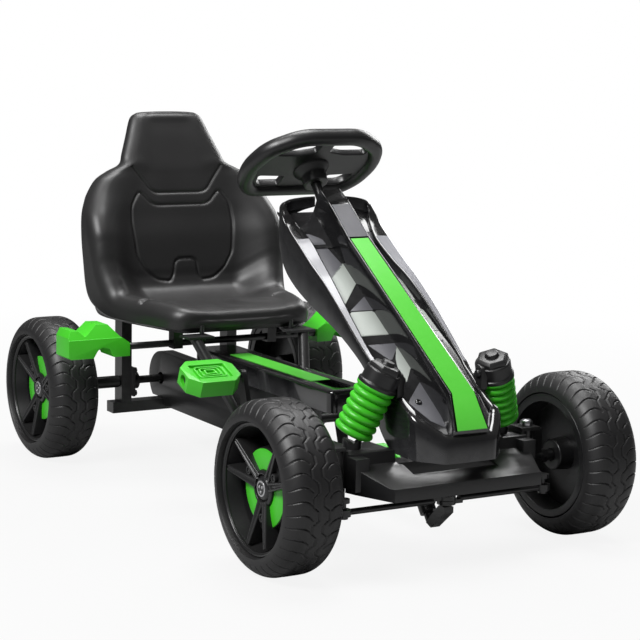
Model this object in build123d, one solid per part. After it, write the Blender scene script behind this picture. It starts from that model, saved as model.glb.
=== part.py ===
from build123d import *
import math
import os

# Pedal go kart. Millimetres. Origin on the ground, midway between the axles.
# +Z is up, -Y is forward, +X is the driver's left.

# ---- driving dimensions -------------------------------------------------
AXLE_Y = 423.0              # each axle, in front of and behind the origin
FRONT_Y = -AXLE_Y
REAR_Y = AXLE_Y
FRONT_TRACK_HALF = 261.5    # centre of a front tyre
REAR_TRACK_HALF = 252.7     # centre of a rear tyre
WHEEL_R = 127.5             # outside radius of every tyre
AXLE_Z = WHEEL_R            # height of both axles
TYRE_WIDTH = 92.0
SHOULDER_R = 28.0
RIM_R = 90.0
RIM_WALL = 6.0
LIP_R = 96.0
LIP_T = 4.0
SPOKE_PAIRS = 3
SPOKE_SPREAD = 17.0         # each spoke of a pair, either side of the pair's middle
SPOKE_T = 10.0
DISC_R = 56.0
HUB_R = 24.0
HUB_INNER = -30.0           # hub ends, measured outwards from the tyre's centre
HUB_OUTER = 14.0
HUB_BORE_R = 10.0
CAP_R = 20.0
CAP_TIP = 27.0
STUB_R = 6.0                # front stub axles
AXLE_R = 7.0                # rear axle
AXLE_END = 23.5             # axle ends, measured outwards from the tyre's centre

KINGPIN_X = 178.0
KINGPIN_R = 6.0
SLEEVE_R = 11.0
SLEEVE_LOW = AXLE_Z - 22.5
SLEEVE_HIGH = AXLE_Z + 44.5
TAB_T = 5.0
STEER_ARM = 46.6            # steering arms and pitman arm, pivot to pivot
TIE_Z = AXLE_Z - 36.5
TIE_R = 4.6
TIE_PIN_R = 4.0
PITMAN_PIN_R = 4.5

COLUMN_RAKE = math.degrees(math.atan2(3, 4))   # column lean from vertical
WHEEL_HUB = (0.0, FRONT_Y + 368.8, AXLE_Z + 426.9)   # centre of the steering wheel
COLUMN_R = 8.0
COLUMN_TUBE_R = 13.0
COLUMN_TUBE_BORE = 10.0
COLUMN_TUBE_LOW = 617.0     # tube ends, measured down the column from the hub
COLUMN_TUBE_HIGH = 103.0
STEERING_HALF = 126.0
STEERING_RIM = 26.0

TUBE_W = 30.0               # main frame tube
TUBE_LOW = AXLE_Z - 52.5
TUBE_X = 12.0
BEAM_HALF = 158.0           # front beam
BEAM_LOW = AXLE_Z - 9.5
BEAM_HIGH = AXLE_Z + 18.5
POST_X = 109.0
POST_W = 20.0
BAR_LOW = AXLE_Z - 57.5     # rear cross bar
BAR_T = 20.0
BAR_HALF = 135.0
STRUT_R = 9.5
CROSS_Y = 18.0              # bar under the main tube that the struts stand on
ROD_R = 6.0                 # mudguard rod
ROD_Y = REAR_Y - WHEEL_R - 55.5
ROD_Z = AXLE_Z + 97.5
ROD_HALF = 198.0

CRANK_Y = -20.0
CRANK_Z = AXLE_Z - 2.5
CRANK_THROW = 84.0
CRANK_LEAN = 17.0           # right crank arm, rearwards from vertical
CRANK_R = 8.0
ARM_IN = 84.0
ARM_T = 8.0
SPINDLE_R = 5.0
PEDAL_IN = 102.0
PEDAL_W = 96.0
PEDAL_D = 70.0
PEDAL_T = 28.0
PEDAL_TILT = 21.0

CHAIN_X = -20.0
CHAIN_PITCH = 12.7
CRANK_TEETH = 20
AXLE_TEETH = 12
TOOTH_T = 3.2
CASE_W = 28.0
CASE_WALL = 2.5
CASE_MARGIN = 8.0           # case outside the crank sprocket's pitch circle
CASE_REAR_R = 50.0

SEAT_BASE = AXLE_Z + 124.5  # underside of the seat
SEAT_HEIGHT = 366.0
SEAT_TOP = SEAT_BASE + SEAT_HEIGHT
SEAT_FRONT = REAR_Y - 273   # front lip of the seat
SEAT_HALF = 198.0
SEAT_BOLTS = [(POST_X - 21, SEAT_FRONT + 2), (POST_X - 21, REAR_Y + 4)]
BOLT_R = 4.0
SEAT_WALL = 12.0
SEAT_BACK_T = 20.0

COVER_X = -2.0              # centre line of the frame cover
COVER_W = 80.0
COVER_FRONT = CRANK_Y - 184
COVER_REAR = CRANK_Y + 291
COVER_TOP = AXLE_Z + 82.5
COVER_WALL = 3.0

BUMPER_FRONT = FRONT_Y - 106
BUMPER_CORNER = 129.0
BUMPER_HALF = 160.0
BUMPER_LOW = AXLE_Z - 15
BUMPER_WALL = 4.0
SHOCK_TOP = (90.6, FRONT_Y - 23, AXLE_Z + 174)
SHOCK_FOOT = (132.0, FRONT_Y + 8, AXLE_Z + 64.5)
BOOT_R = 30.0
BOOT_ROOT_R = 25.0
BOOT_RINGS = 7
CAP_LEN = 42.0              # shock cap, down from its button

# ---- clearances ---------------------------------------------------------
RUN = 0.05                  # radial, between a shaft and its bearing
FIT = 0.2                   # between pieces that are pushed together
GAP = 1.0                   # beside anything that turns
BALL_PLAY = 5.0             # ball joint at the open end of each tie rod

RIGHT = -1
LEFT = 1


# ---- small shape helpers ------------------------------------------------
def outline(points):
    return make_face(Polyline(*points, close=True))


def prism_x(points, x0, x1):
    """Outline in (y, z), between two X planes."""
    return extrude(Plane.YZ.offset(x0) * outline(points), x1 - x0)


def prism_y(points, y0, y1):
    """Outline in (x, z), between two Y planes."""
    return extrude(Plane.XZ.offset(-y1) * outline(points), y1 - y0)


def prism_z(points, z0, z1):
    """Outline in (x, y), between two Z planes."""
    return extrude(Plane.XY.offset(z0) * outline(points), z1 - z0)


def block(x0, x1, y0, y1, z0, z1):
    middle = Pos((x0 + x1) / 2, (y0 + y1) / 2, (z0 + z1) / 2)
    return middle * Box(x1 - x0, y1 - y0, z1 - z0)


def rod_x(radius, x0, x1, y, z):
    return Pos((x0 + x1) / 2, y, z) * Rot(0, 90, 0) * Cylinder(radius, x1 - x0)


def rod_z(radius, x, y, z0, z1):
    return Pos(x, y, (z0 + z1) / 2) * Cylinder(radius, z1 - z0)


def rod_between(start, end, radius):
    a, b = Vector(*start), Vector(*end)
    along = Plane(origin=a, z_dir=b - a)
    return along * Pos(0, 0, (b - a).length / 2) * Cylinder(radius, (b - a).length)


def turned_x(points, y=0.0, z=0.0):
    """Outline in (x, radius), turned about a line along X."""
    return Pos(0, y, z) * revolve(outline(points), Axis.X)


def hex_x(across, x0, x1, y, z):
    face = Plane.YZ.offset(x0) * RegularPolygon(across / 2, 6, major_radius=False)
    return Pos(0, y, z) * extrude(face, x1 - x0)


def hex_z(across, x, y, z0, z1):
    face = Plane.XY.offset(z0) * RegularPolygon(across / 2, 6, major_radius=False)
    return Pos(x, y, 0) * extrude(face, z1 - z0)


def on_side(shape, side):
    return shape if side == LEFT else mirror(shape, about=Plane.YZ)


def both_sides(points):
    """Closes a half outline, given for x >= 0, with its mirror image."""
    return points + [(-x, v) for x, v in reversed(points)]


def shifted(points, du, dv):
    return [(u + du, v + dv) for u, v in points]


def band(points, du, dv):
    """Closed strip between a line and the same line shifted."""
    return points + list(reversed(shifted(points, du, dv)))


def group(*shapes):
    solids = []
    for shape in shapes:
        solids.extend(shape.solids())
    return Compound(children=solids)


def column_point(distance):
    """Point on the steering column's axis, so far down from the wheel."""
    rake = math.radians(COLUMN_RAKE)
    x, y, z = WHEEL_HUB
    return (x, y - distance * math.sin(rake), z - distance * math.cos(rake))


def pitch_radius(teeth):
    return CHAIN_PITCH / (2 * math.sin(math.pi / teeth))


# ---- wheels, built with the outside face towards +X ---------------------
def tyre():
    half = TYRE_WIDTH / 2
    seat = half - LIP_T - 1
    lip = LIP_R + FIT
    bead = RIM_R + FIT
    corners = [(-half, WHEEL_R), (half, WHEEL_R)]
    right = [(half, lip), (seat, lip), (seat, bead)]
    left = [(-seat, bead), (-seat, lip), (-half, lip)]
    face = outline(corners + right + left)
    shoulders = face.vertices().group_by(Axis.Y)[-1]
    return revolve(fillet(shoulders, SHOULDER_R), Axis.X)


def rim():
    lip_in = TYRE_WIDTH / 2 - LIP_T - 1 + FIT
    lip_out = lip_in + LIP_T
    bore = RIM_R - RIM_WALL
    barrel = turned_x([(-lip_out, bore), (lip_out, bore), (lip_out, LIP_R), (lip_in, LIP_R),
                       (lip_in, RIM_R), (-lip_in, RIM_R), (-lip_in, LIP_R), (-lip_out, LIP_R)])
    dish = turned_x([(-8, HUB_R - 2), (-4, HUB_R - 2), (-4, bore + 1), (-8, bore + 1)])
    hub = turned_x([(HUB_INNER, HUB_BORE_R + FIT / 2), (HUB_OUTER, HUB_BORE_R + FIT / 2),
                    (HUB_OUTER, HUB_R), (HUB_INNER, HUB_R)])
    body = barrel + dish + hub
    reach = bore + 1
    section = [(-5, HUB_R - 3), (HUB_OUTER + 4, HUB_R - 3), (33, reach), (-5, reach)]
    spoke = prism_y(section, -SPOKE_T / 2, SPOKE_T / 2)
    across, along = math.sin(math.radians(SPOKE_SPREAD)), math.cos(math.radians(SPOKE_SPREAD))
    web = [(-HUB_R * across, HUB_R * along), (-reach * across, reach * along),
           (reach * across, reach * along), (HUB_R * across, HUB_R * along)]
    for i in range(SPOKE_PAIRS):
        turn = 360 / SPOKE_PAIRS * i
        for lean in (-SPOKE_SPREAD, SPOKE_SPREAD):
            body += Rot(turn + lean, 0, 0) * spoke
        body += Rot(turn, 0, 0) * prism_x(web, -5, 3)
    return body - rod_x(HUB_BORE_R + FIT / 2, HUB_INNER - 1, 19, 0, 0)


def wheel_disc():
    """Disc behind the spokes, cut away where the webs stand."""
    disc = turned_x([(-4 + FIT, HUB_R + FIT), (-1, HUB_R + FIT), (-1, DISC_R), (-4 + FIT, DISC_R)])
    across, along = math.sin(math.radians(SPOKE_SPREAD)), math.cos(math.radians(SPOKE_SPREAD))
    half = SPOKE_T / 2 + FIT
    gap = both_sides([(r * across + half * along, r * along - half * across) for r in (HUB_R - 4, DISC_R + 14)])
    for i in range(SPOKE_PAIRS):
        disc -= Rot(360 / SPOKE_PAIRS * i, 0, 0) * prism_x(gap, -9, 9)
    return disc


def hub_cap():
    face = HUB_OUTER + FIT
    cavity = 12.5
    return turned_x([(face, cavity), (face, CAP_R), (20, CAP_R), (25, 14), (CAP_TIP, 7),
                     (CAP_TIP, 0), (CAP_TIP - 2.5, 0), (CAP_TIP - 2.5, cavity)])


def wheel_bushes(shaft_r):
    bore = shaft_r + RUN
    flange = 11.8
    inner = turned_x([(HUB_INNER - 2, bore), (HUB_INNER + 14, bore), (HUB_INNER + 14, HUB_BORE_R),
                      (HUB_INNER, HUB_BORE_R), (HUB_INNER, flange), (HUB_INNER - 2, flange)])
    outer = turned_x([(HUB_OUTER - 14, bore), (HUB_OUTER + 2, bore), (HUB_OUTER + 2, flange),
                      (HUB_OUTER, flange), (HUB_OUTER, HUB_BORE_R), (HUB_OUTER - 14, HUB_BORE_R)])
    return group(inner, outer)


def wheel_nodes(place, side, centre_x, axle_y, shaft_r):
    """The pieces of one wheel, named after its place."""
    pieces = {"tyre": tyre(), "rim": rim(), "wheel_disc": wheel_disc(), "hub_cap": hub_cap(),
              "wheel_bushes": wheel_bushes(shaft_r)}
    at = Pos(centre_x, axle_y, AXLE_Z)
    return {f"{name}_{place}": on_side(at * piece, side) for name, piece in pieces.items()}


# ---- front axle and steering -------------------------------------------
def front_beam():
    """Cross beam with a fork for each kingpin and the saddle that joins the main tube."""
    depth = 15.0
    beam = block(-BEAM_HALF, BEAM_HALF, FRONT_Y - depth, FRONT_Y + depth, BEAM_LOW, BEAM_HIGH)
    low, high = SLEEVE_LOW - GAP - TAB_T, SLEEVE_HIGH + GAP + TAB_T
    fork = block(BEAM_HALF, BEAM_HALF + 4, FRONT_Y - 17, FRONT_Y + 17, low, high)
    for z in (low, high - TAB_T):
        fork += block(BEAM_HALF, KINGPIN_X + 14, FRONT_Y - 17, FRONT_Y + 17, z, z + TAB_T)
    fork -= rod_z(KINGPIN_R + FIT, KINGPIN_X, FRONT_Y, low - 1, high + 1)
    top = TUBE_LOW + TUBE_W
    saddle = block(-20, TUBE_X + TUBE_W / 2 + 3, FRONT_Y + depth, FRONT_Y + 90, top, BEAM_LOW + 8)
    tube = rod_between(column_point(0), column_point(COLUMN_TUBE_LOW + 40), COLUMN_TUBE_R + FIT)
    return beam + fork + on_side(fork, RIGHT) + (saddle - tube)


def kingpins():
    low, high = SLEEVE_LOW - GAP - TAB_T, SLEEVE_HIGH + GAP + TAB_T
    pin = rod_z(KINGPIN_R, KINGPIN_X, FRONT_Y, low - 10, high)
    dome = Pos(KINGPIN_X, FRONT_Y, high) * Cylinder(10, 10, align=(Align.CENTER, Align.CENTER, Align.MIN))
    dome = fillet(dome.edges().group_by(Axis.Z)[-1], 6)
    nut = hex_z(17, KINGPIN_X, FRONT_Y, low - 8, low)
    one = pin + dome + nut
    return group(one, on_side(one, RIGHT))


def knuckle(side):
    """Sleeve on the kingpin, gusset, stub axle, steering arm and the axle's two nuts."""
    y = FRONT_Y
    sleeve = rod_z(SLEEVE_R, KINGPIN_X, y, SLEEVE_LOW, SLEEVE_HIGH)
    gusset = block(KINGPIN_X + 8, KINGPIN_X + 28, y - 4, y + 4, SLEEVE_LOW + 8, SLEEVE_HIGH)
    hub_face = FRONT_TRACK_HALF + HUB_INNER - 2
    stub = rod_x(STUB_R, KINGPIN_X + 8, FRONT_TRACK_HALF + AXLE_END, y, AXLE_Z)
    spacer = rod_x(9, KINGPIN_X + 38, hub_face - 0.5, y, AXLE_Z)
    inner_nut = hex_x(19, KINGPIN_X + 28, KINGPIN_X + 38, y, AXLE_Z)
    arm_end = y - STEER_ARM
    arm = block(KINGPIN_X - 6, KINGPIN_X + 6, arm_end, y - 5, SLEEVE_LOW + 0.5, SLEEVE_LOW + 6.5)
    arm += rod_z(9, KINGPIN_X, arm_end, SLEEVE_LOW + 0.5, SLEEVE_LOW + 6.5)
    pin = rod_z(TIE_PIN_R, KINGPIN_X, arm_end, TIE_Z - 9, SLEEVE_LOW + 2)
    pin += rod_z(7, KINGPIN_X, arm_end, TIE_Z - 9, TIE_Z - 5.5)
    body = sleeve + gusset + stub + spacer + inner_nut + arm
    body = body - rod_z(KINGPIN_R + RUN, KINGPIN_X, y, SLEEVE_LOW - 1, SLEEVE_HIGH + 1) + pin
    nut_start = FRONT_TRACK_HALF + HUB_OUTER + 2.5
    nut = hex_x(17, nut_start, nut_start + 6.5, y, AXLE_Z) - rod_x(STUB_R, nut_start - 1, nut_start + 8, y, AXLE_Z)
    return on_side(group(body, nut), side)


def tie_rod(side):
    """Rod with a plain eye on the steering arm and a ball-joint eye at the pitman arm."""
    y = FRONT_Y - STEER_ARM
    low = TIE_Z - 6.5 if side == LEFT else TIE_Z + 0.5
    high = low + 6
    rod = rod_x(TIE_R, 22, KINGPIN_X - 9, y, TIE_Z)
    outer = rod_z(11, KINGPIN_X, y, TIE_Z - 5, TIE_Z + 5)
    inner = rod_z(14, 0, y, low, high) + block(10, 26, y - 6, y + 6, low, high)
    body = rod + outer + inner
    body -= rod_z(TIE_PIN_R + RUN, KINGPIN_X, y, TIE_Z - 8, TIE_Z + 8)
    body -= rod_z(PITMAN_PIN_R + BALL_PLAY, 0, y, low - 1, high + 1)
    return on_side(body, side)


def steering_tube():
    """Fixed outer tube of the steering column, with a bush at each end."""
    tube = rod_between(column_point(COLUMN_TUBE_HIGH), column_point(COLUMN_TUBE_LOW), COLUMN_TUBE_R)
    tube -= rod_between(column_point(COLUMN_TUBE_HIGH - 5), column_point(COLUMN_TUBE_LOW + 5), COLUMN_TUBE_BORE)
    for start in (COLUMN_TUBE_HIGH, COLUMN_TUBE_LOW - 24):
        bush = rod_between(column_point(start), column_point(start + 24), COLUMN_TUBE_BORE + 1)
        bush -= rod_between(column_point(start - 5), column_point(start + 30), COLUMN_R + RUN)
        tube += bush
    return tube


def steering_column():
    """Column rod, bent forward at its foot into the pitman arm with the ball pin."""
    foot = column_point(COLUMN_TUBE_LOW + 14)
    rod = rod_between(column_point(-4), foot, COLUMN_R)
    y, z = foot[1], foot[2]
    pin_y = FRONT_Y - STEER_ARM
    top = TIE_Z - 10
    arm = prism_x([(y + 3, z - 2), (y - 10, z - 7), (pin_y - 8, top - 9), (pin_y - 8, top),
                   (pin_y + 8, top), (y - 6, z + 9)], -8, 8)
    pin = rod_z(PITMAN_PIN_R, 0, pin_y, top - 1, TIE_Z + 14)
    head = hex_z(20, 0, pin_y, TIE_Z + 13, TIE_Z + 18)
    return rod + arm + pin + head


def steering_plane():
    rake = math.radians(COLUMN_RAKE)
    return Plane(origin=WHEEL_HUB, x_dir=(1, 0, 0), z_dir=(0, math.sin(rake), math.cos(rake)))


def steering_outline(inset):
    """D-shaped outline in the wheel's own plane: +y is the driver's side, where it is flat."""
    w = STEERING_HALF - inset
    top, flat = -97 + inset, 76 - inset
    half = [(0, top), (0.46 * w, top), (0.88 * w, -60 + 0.6 * inset), (w, -7), (0.93 * w, 43 - 0.4 * inset),
            (0.72 * w, flat), (0, flat)]
    face = outline(half + [(-x, y) for x, y in reversed(half[1:-1])])
    ends = [v for v in face.vertices() if abs(v.X) > 1]
    return fillet(ends, 22)


def steering_slots():
    upper = [(12, -69), (56, -69), (84, -52), (80, -40), (41, -40), (12, -48)]
    lower = [(41, 21), (89, 18), (84, 40), (73, 48), (41, 48)]
    shapes = []
    for points in (upper, lower):
        shapes.append(outline(points))
        shapes.append(outline([(-x, y) for x, y in reversed(points)]))
    return shapes


def steering_wheel():
    plane = steering_plane()
    ring = steering_outline(0) - steering_outline(STEERING_RIM)
    wheel = extrude(ring, STEERING_RIM / 2, both=True)
    plate = extrude(steering_outline(STEERING_RIM - 2), 6, both=True)
    for slot in steering_slots():
        plate -= extrude(slot, 20, both=True)
    boss = Pos(0, 0, -20) * Cylinder(20, 30)
    wheel = wheel + plate + boss
    wheel -= Pos(0, 0, -20) * Cylinder(COLUMN_R + FIT / 2, 60)
    return plane * wheel


def steering_cap():
    cap = Pos(0, 0, 10.2) * Cylinder(28, 8)
    cap = fillet(cap.edges().group_by(Axis.Z)[-1], 4)
    return steering_plane() * (cap - Pos(0, 0, 6) * Cylinder(COLUMN_R + 2, 6))


# ---- frame --------------------------------------------------------------
def main_tube():
    """Main tube, crank housing and the cross bar that carries the seat struts."""
    half = TUBE_W / 2
    front = FRONT_Y + 58
    rear = REAR_Y - BAR_T / 2
    high = TUBE_LOW + TUBE_W
    tube = block(TUBE_X - half, TUBE_X + half, front, rear, TUBE_LOW, high)
    inside = half - 2.5
    tube -= block(TUBE_X - inside, TUBE_X + inside, front - 1, rear + 1, TUBE_LOW + 2.5, high - 2.5)
    housing = rod_x(17, CHAIN_X + CASE_W / 2 + GAP, 44, CRANK_Y, CRANK_Z)
    saddle = block(TUBE_X - half, TUBE_X + half, CRANK_Y - 11, CRANK_Y + 11, high, CRANK_Z - 8)
    cross = block(-60, 60, CROSS_Y - 10, CROSS_Y + 10, TUBE_LOW - 17, TUBE_LOW)
    body = tube + (housing + saddle) + cross
    return body - rod_x(CRANK_R + RUN, -20, 50, CRANK_Y, CRANK_Z)


def rear_cross_bar():
    return block(-BAR_HALF, BAR_HALF, REAR_Y - BAR_T / 2, REAR_Y + BAR_T / 2 + 8, BAR_LOW, BAR_LOW + BAR_T)


def rear_post(side):
    half = POST_W / 2
    post = block(POST_X - half, POST_X + half, REAR_Y - 12, REAR_Y + 18, BAR_LOW + BAR_T, SEAT_BASE)
    post += block(POST_X - 33, POST_X + 13, REAR_Y - 12, REAR_Y + 18, SEAT_BASE - 4, SEAT_BASE)
    post -= rod_x(AXLE_R + 3, POST_X - 40, POST_X + 40, REAR_Y, AXLE_Z)
    post -= rod_z(BOLT_R + FIT, *SEAT_BOLTS[1], SEAT_BASE - 5, SEAT_BASE + 1)
    return on_side(post, side)


def rear_bearings():
    face = POST_X - POST_W / 2
    plate = block(face - 4, face, REAR_Y - 20, REAR_Y + 24, AXLE_Z - 27, AXLE_Z + 27)
    boss = rod_x(16, face - 15, face - 4, REAR_Y, AXLE_Z)
    one = plate + boss
    for dy in (-14, 17):
        for dz in (-21, 21):
            one += hex_x(10, face - 8, face - 4, REAR_Y + dy, AXLE_Z + dz)
    one -= rod_x(AXLE_R + RUN, face - 20, face + 2, REAR_Y, AXLE_Z)
    return group(one, on_side(one, RIGHT))


def seat_strut(side):
    foot, head = (46, CROSS_Y, TUBE_LOW - 5), (POST_X, SEAT_FRONT - 5, SEAT_BASE + 3)
    tube = rod_between(foot, head, STRUT_R)
    tube = tube & block(0, 200, CROSS_Y - 60, SEAT_FRONT + 60, TUBE_LOW, SEAT_BASE - 4)
    bolt_x, bolt_y = SEAT_BOLTS[0]
    tab = block(bolt_x - 12, POST_X + 15, bolt_y - 24, bolt_y + 14, SEAT_BASE - 4, SEAT_BASE)
    tab -= rod_z(BOLT_R + FIT, bolt_x, bolt_y, SEAT_BASE - 9, SEAT_BASE + 9)
    return on_side(tube + tab, side)


def mudguard_rod():
    rod = rod_x(ROD_R, -ROD_HALF, ROD_HALF, ROD_Y, ROD_Z)
    for x in (-94, 94):
        rod += block(x - 9, x + 9, ROD_Y - 10, ROD_Y + 10, ROD_Z - 9, SEAT_BASE)
    return rod


def seat_bolts():
    bolts = []
    for x, y in SEAT_BOLTS:
        bolt = rod_z(BOLT_R, x, y, SEAT_BASE - 6, SEAT_BASE + 16)
        bolt += hex_z(13, x, y, SEAT_BASE - 10, SEAT_BASE - 4)
        bolts += [bolt, on_side(bolt, RIGHT)]
    return group(*bolts)


# ---- drive --------------------------------------------------------------
def sprocket(teeth, bore_r, y, z, hub_r):
    pitch = pitch_radius(teeth)
    face = Plane.YZ * Circle(pitch + 2.5)
    for i in range(teeth):
        a = 2 * math.pi * (i + 0.5) / teeth
        face -= Plane.YZ * Pos(pitch * math.cos(a), pitch * math.sin(a)) * Circle(4.0)
    disc = extrude(face, TOOTH_T / 2, both=True) + rod_x(hub_r, -8, 8, 0, 0)
    return Pos(CHAIN_X, y, z) * (disc - rod_x(bore_r, -12, 12, 0, 0))


def crank_arm_direction():
    lean = math.radians(CRANK_LEAN)
    return math.sin(lean), math.cos(lean)


def pedal_place(side):
    """Spindle centre in (y, z): the right pedal is up, the left one opposite."""
    dy, dz = crank_arm_direction()
    return CRANK_Y - side * CRANK_THROW * dy, CRANK_Z - side * CRANK_THROW * dz


def crankshaft():
    shaft = rod_x(CRANK_R, -ARM_IN - 2, ARM_IN + 2, CRANK_Y, CRANK_Z)
    for side in (RIGHT, LEFT):
        py, pz = pedal_place(side)
        dy, dz = crank_arm_direction()
        wide, slim = 13.0, 10.0
        arm = prism_x([(CRANK_Y + dz * wide, CRANK_Z - dy * wide), (py + dz * slim, pz - dy * slim),
                       (py - dz * slim, pz + dy * slim), (CRANK_Y - dz * wide, CRANK_Z + dy * wide)],
                      ARM_IN, ARM_IN + ARM_T)
        arm += rod_x(wide, ARM_IN, ARM_IN + ARM_T, CRANK_Y, CRANK_Z)
        arm += rod_x(slim, ARM_IN, ARM_IN + ARM_T, py, pz)
        arm += rod_x(SPINDLE_R, ARM_IN + 1, PEDAL_IN + PEDAL_W - 6, py, pz)
        arm += rod_x(8, PEDAL_IN + PEDAL_W - 10, PEDAL_IN + PEDAL_W - 6, py, pz)
        shaft += on_side(arm, side)
    return shaft


def pedal(side):
    """Octagonal block with a recessed tread on its upper face."""
    half, depth, cut = PEDAL_W / 2, PEDAL_D / 2, 18.0
    shape = [(half, -depth + cut), (half, depth - cut), (half - cut, depth), (-half + cut, depth),
             (-half, depth - cut), (-half, -depth + cut), (-half + cut, -depth), (half - cut, -depth)]
    body = prism_z(shape, -PEDAL_T / 2, PEDAL_T / 2)
    body -= block(-half + 16, half - 16, -depth + 14, depth - 14, PEDAL_T / 2 - 5, PEDAL_T)
    body -= rod_x(SPINDLE_R + RUN, -half - 1, half + 1, 0, 0)
    body -= rod_x(9, half - 11, half + 1, 0, 0)
    py, pz = pedal_place(side)
    return on_side(Pos(PEDAL_IN + half, py, pz) * Rot(PEDAL_TILT, 0, 0) * body, side)


def rear_axle():
    end = REAR_TRACK_HALF + AXLE_END
    axle = rod_x(AXLE_R, -end, end, REAR_Y, AXLE_Z)
    spacer_end = REAR_TRACK_HALF + HUB_INNER - 2
    collar = rod_x(11, POST_X + POST_W / 2 + 3, spacer_end - 0.5, REAR_Y, AXLE_Z)
    axle = axle + collar + on_side(collar, RIGHT)
    start = REAR_TRACK_HALF + HUB_OUTER + 2.5
    nut = hex_x(19, start, start + 6.5, REAR_Y, AXLE_Z) - rod_x(AXLE_R, start - 1, start + 8, REAR_Y, AXLE_Z)
    return group(axle, nut, on_side(nut, RIGHT))


def belt_outline(front_r, rear_r):
    """Loop round the two sprocket centres, as one flat face in (y, z)."""
    front = Pos(CRANK_Y, CRANK_Z) * Circle(front_r)
    rear = Pos(REAR_Y, AXLE_Z) * Circle(rear_r)
    span = math.hypot(REAR_Y - CRANK_Y, AXLE_Z - CRANK_Z)
    lean = math.atan2(AXLE_Z - CRANK_Z, REAR_Y - CRANK_Y)
    slope = math.acos((front_r - rear_r) / span)
    corners = []
    for centre, radius, turn in (((CRANK_Y, CRANK_Z), front_r, slope), ((REAR_Y, AXLE_Z), rear_r, slope),
                                 ((REAR_Y, AXLE_Z), rear_r, -slope), ((CRANK_Y, CRANK_Z), front_r, -slope)):
        a = lean + turn
        corners.append((centre[0] + radius * math.cos(a), centre[1] + radius * math.sin(a)))
    return front + rear + outline(corners)


def chain_case_shape(inset, half_width):
    front_r = pitch_radius(CRANK_TEETH) + CASE_MARGIN - inset
    shape = extrude(Plane.YZ * belt_outline(front_r, CASE_REAR_R - inset), half_width, both=True)
    shape = Pos(CHAIN_X, 0, 0) * shape
    floor = BAR_LOW + BAR_T + GAP + inset
    return shape - block(-60, 60, REAR_Y - BAR_T / 2 - GAP - 2 - inset, REAR_Y + 200, 0, floor)


def chain_case():
    """Two moulded half shells that meet on the chain's plane."""
    shell = chain_case_shape(0, CASE_W / 2) - chain_case_shape(CASE_WALL, CASE_W / 2 - CASE_WALL)
    shell -= rod_x(CRANK_R + 4, -60, 60, CRANK_Y, CRANK_Z)
    shell -= rod_x(AXLE_R + 4, -60, 60, REAR_Y, AXLE_Z)
    outer = shell & block(CHAIN_X - 40, CHAIN_X, CRANK_Y - 200, REAR_Y + 200, 0, 400)
    inner = shell & block(CHAIN_X, CHAIN_X + 40, CRANK_Y - 200, REAR_Y + 200, 0, 400)
    return outer, inner


def drive_chain():
    """Side plates of the chain on both sides of the teeth, with rollers on the straight runs."""
    front_r, rear_r = pitch_radius(CRANK_TEETH), pitch_radius(AXLE_TEETH)
    half = 3.6
    loop = belt_outline(front_r + half, rear_r + half) - belt_outline(front_r - half, rear_r - half)
    chain = None
    for x in (-3.8, 2.2):
        plate = Pos(CHAIN_X + x, 0, 0) * extrude(Plane.YZ * loop, 1.6)
        chain = plate if chain is None else chain + plate
    span = REAR_Y - CRANK_Y
    pins = int((span - 80) / CHAIN_PITCH)
    for side in (-1, 1):
        for i in range(pins):
            y = CRANK_Y + 40 + (i + 0.5) * CHAIN_PITCH
            share = (y - CRANK_Y) / span
            z = CRANK_Z + share * (AXLE_Z - CRANK_Z)
            tilt = math.asin((front_r - rear_r) / span)
            z += side * (front_r + share * (rear_r - front_r)) / math.cos(tilt)
            chain += rod_x(2.6, CHAIN_X - 3, CHAIN_X + 3, y, z)
    return chain


# ---- body panels --------------------------------------------------------
def from_front_axle(points):
    """Points given in (y, z) from the front axle's centre."""
    return [(FRONT_Y + y, AXLE_Z + z) for y, z in points]


SPINE = from_front_axle([(305, 394), (273, 374), (239, 346), (212, 324), (-80, 130), (-106, 80)])
RAIL = from_front_axle([(317, 370), (295, 342), (218, 290), (148, 246), (53, 172),
                        (-17, 126), (-65, 100), (-106, 72)])
RAIL_FOOT = from_front_axle([(-106, 32), (-17, 40), (21, 72), (34, 134), (116, 190),
                             (212, 224), (291, 262), (309, 304), (319, 342)])
HOOD_LOW, HOOD_HIGH = AXLE_Z - 30, AXLE_Z + 430
SPINE_HALF = 20.0
HOOD_WALL = 4.0


def hood_plan(inset):
    """Closed hood outline seen from above, drawn in by a wall; its back stays open."""
    half = [(38 - 0.4 * inset, -108 + inset), (60 - 0.7 * inset, -92 + 0.7 * inset),
            (79 - inset, -65 + 0.4 * inset), (82 - inset, -17), (88 - inset, 123), (88 - inset, 333 + inset)]
    return both_sides([(x, FRONT_Y + y) for x, y in half])


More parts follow.
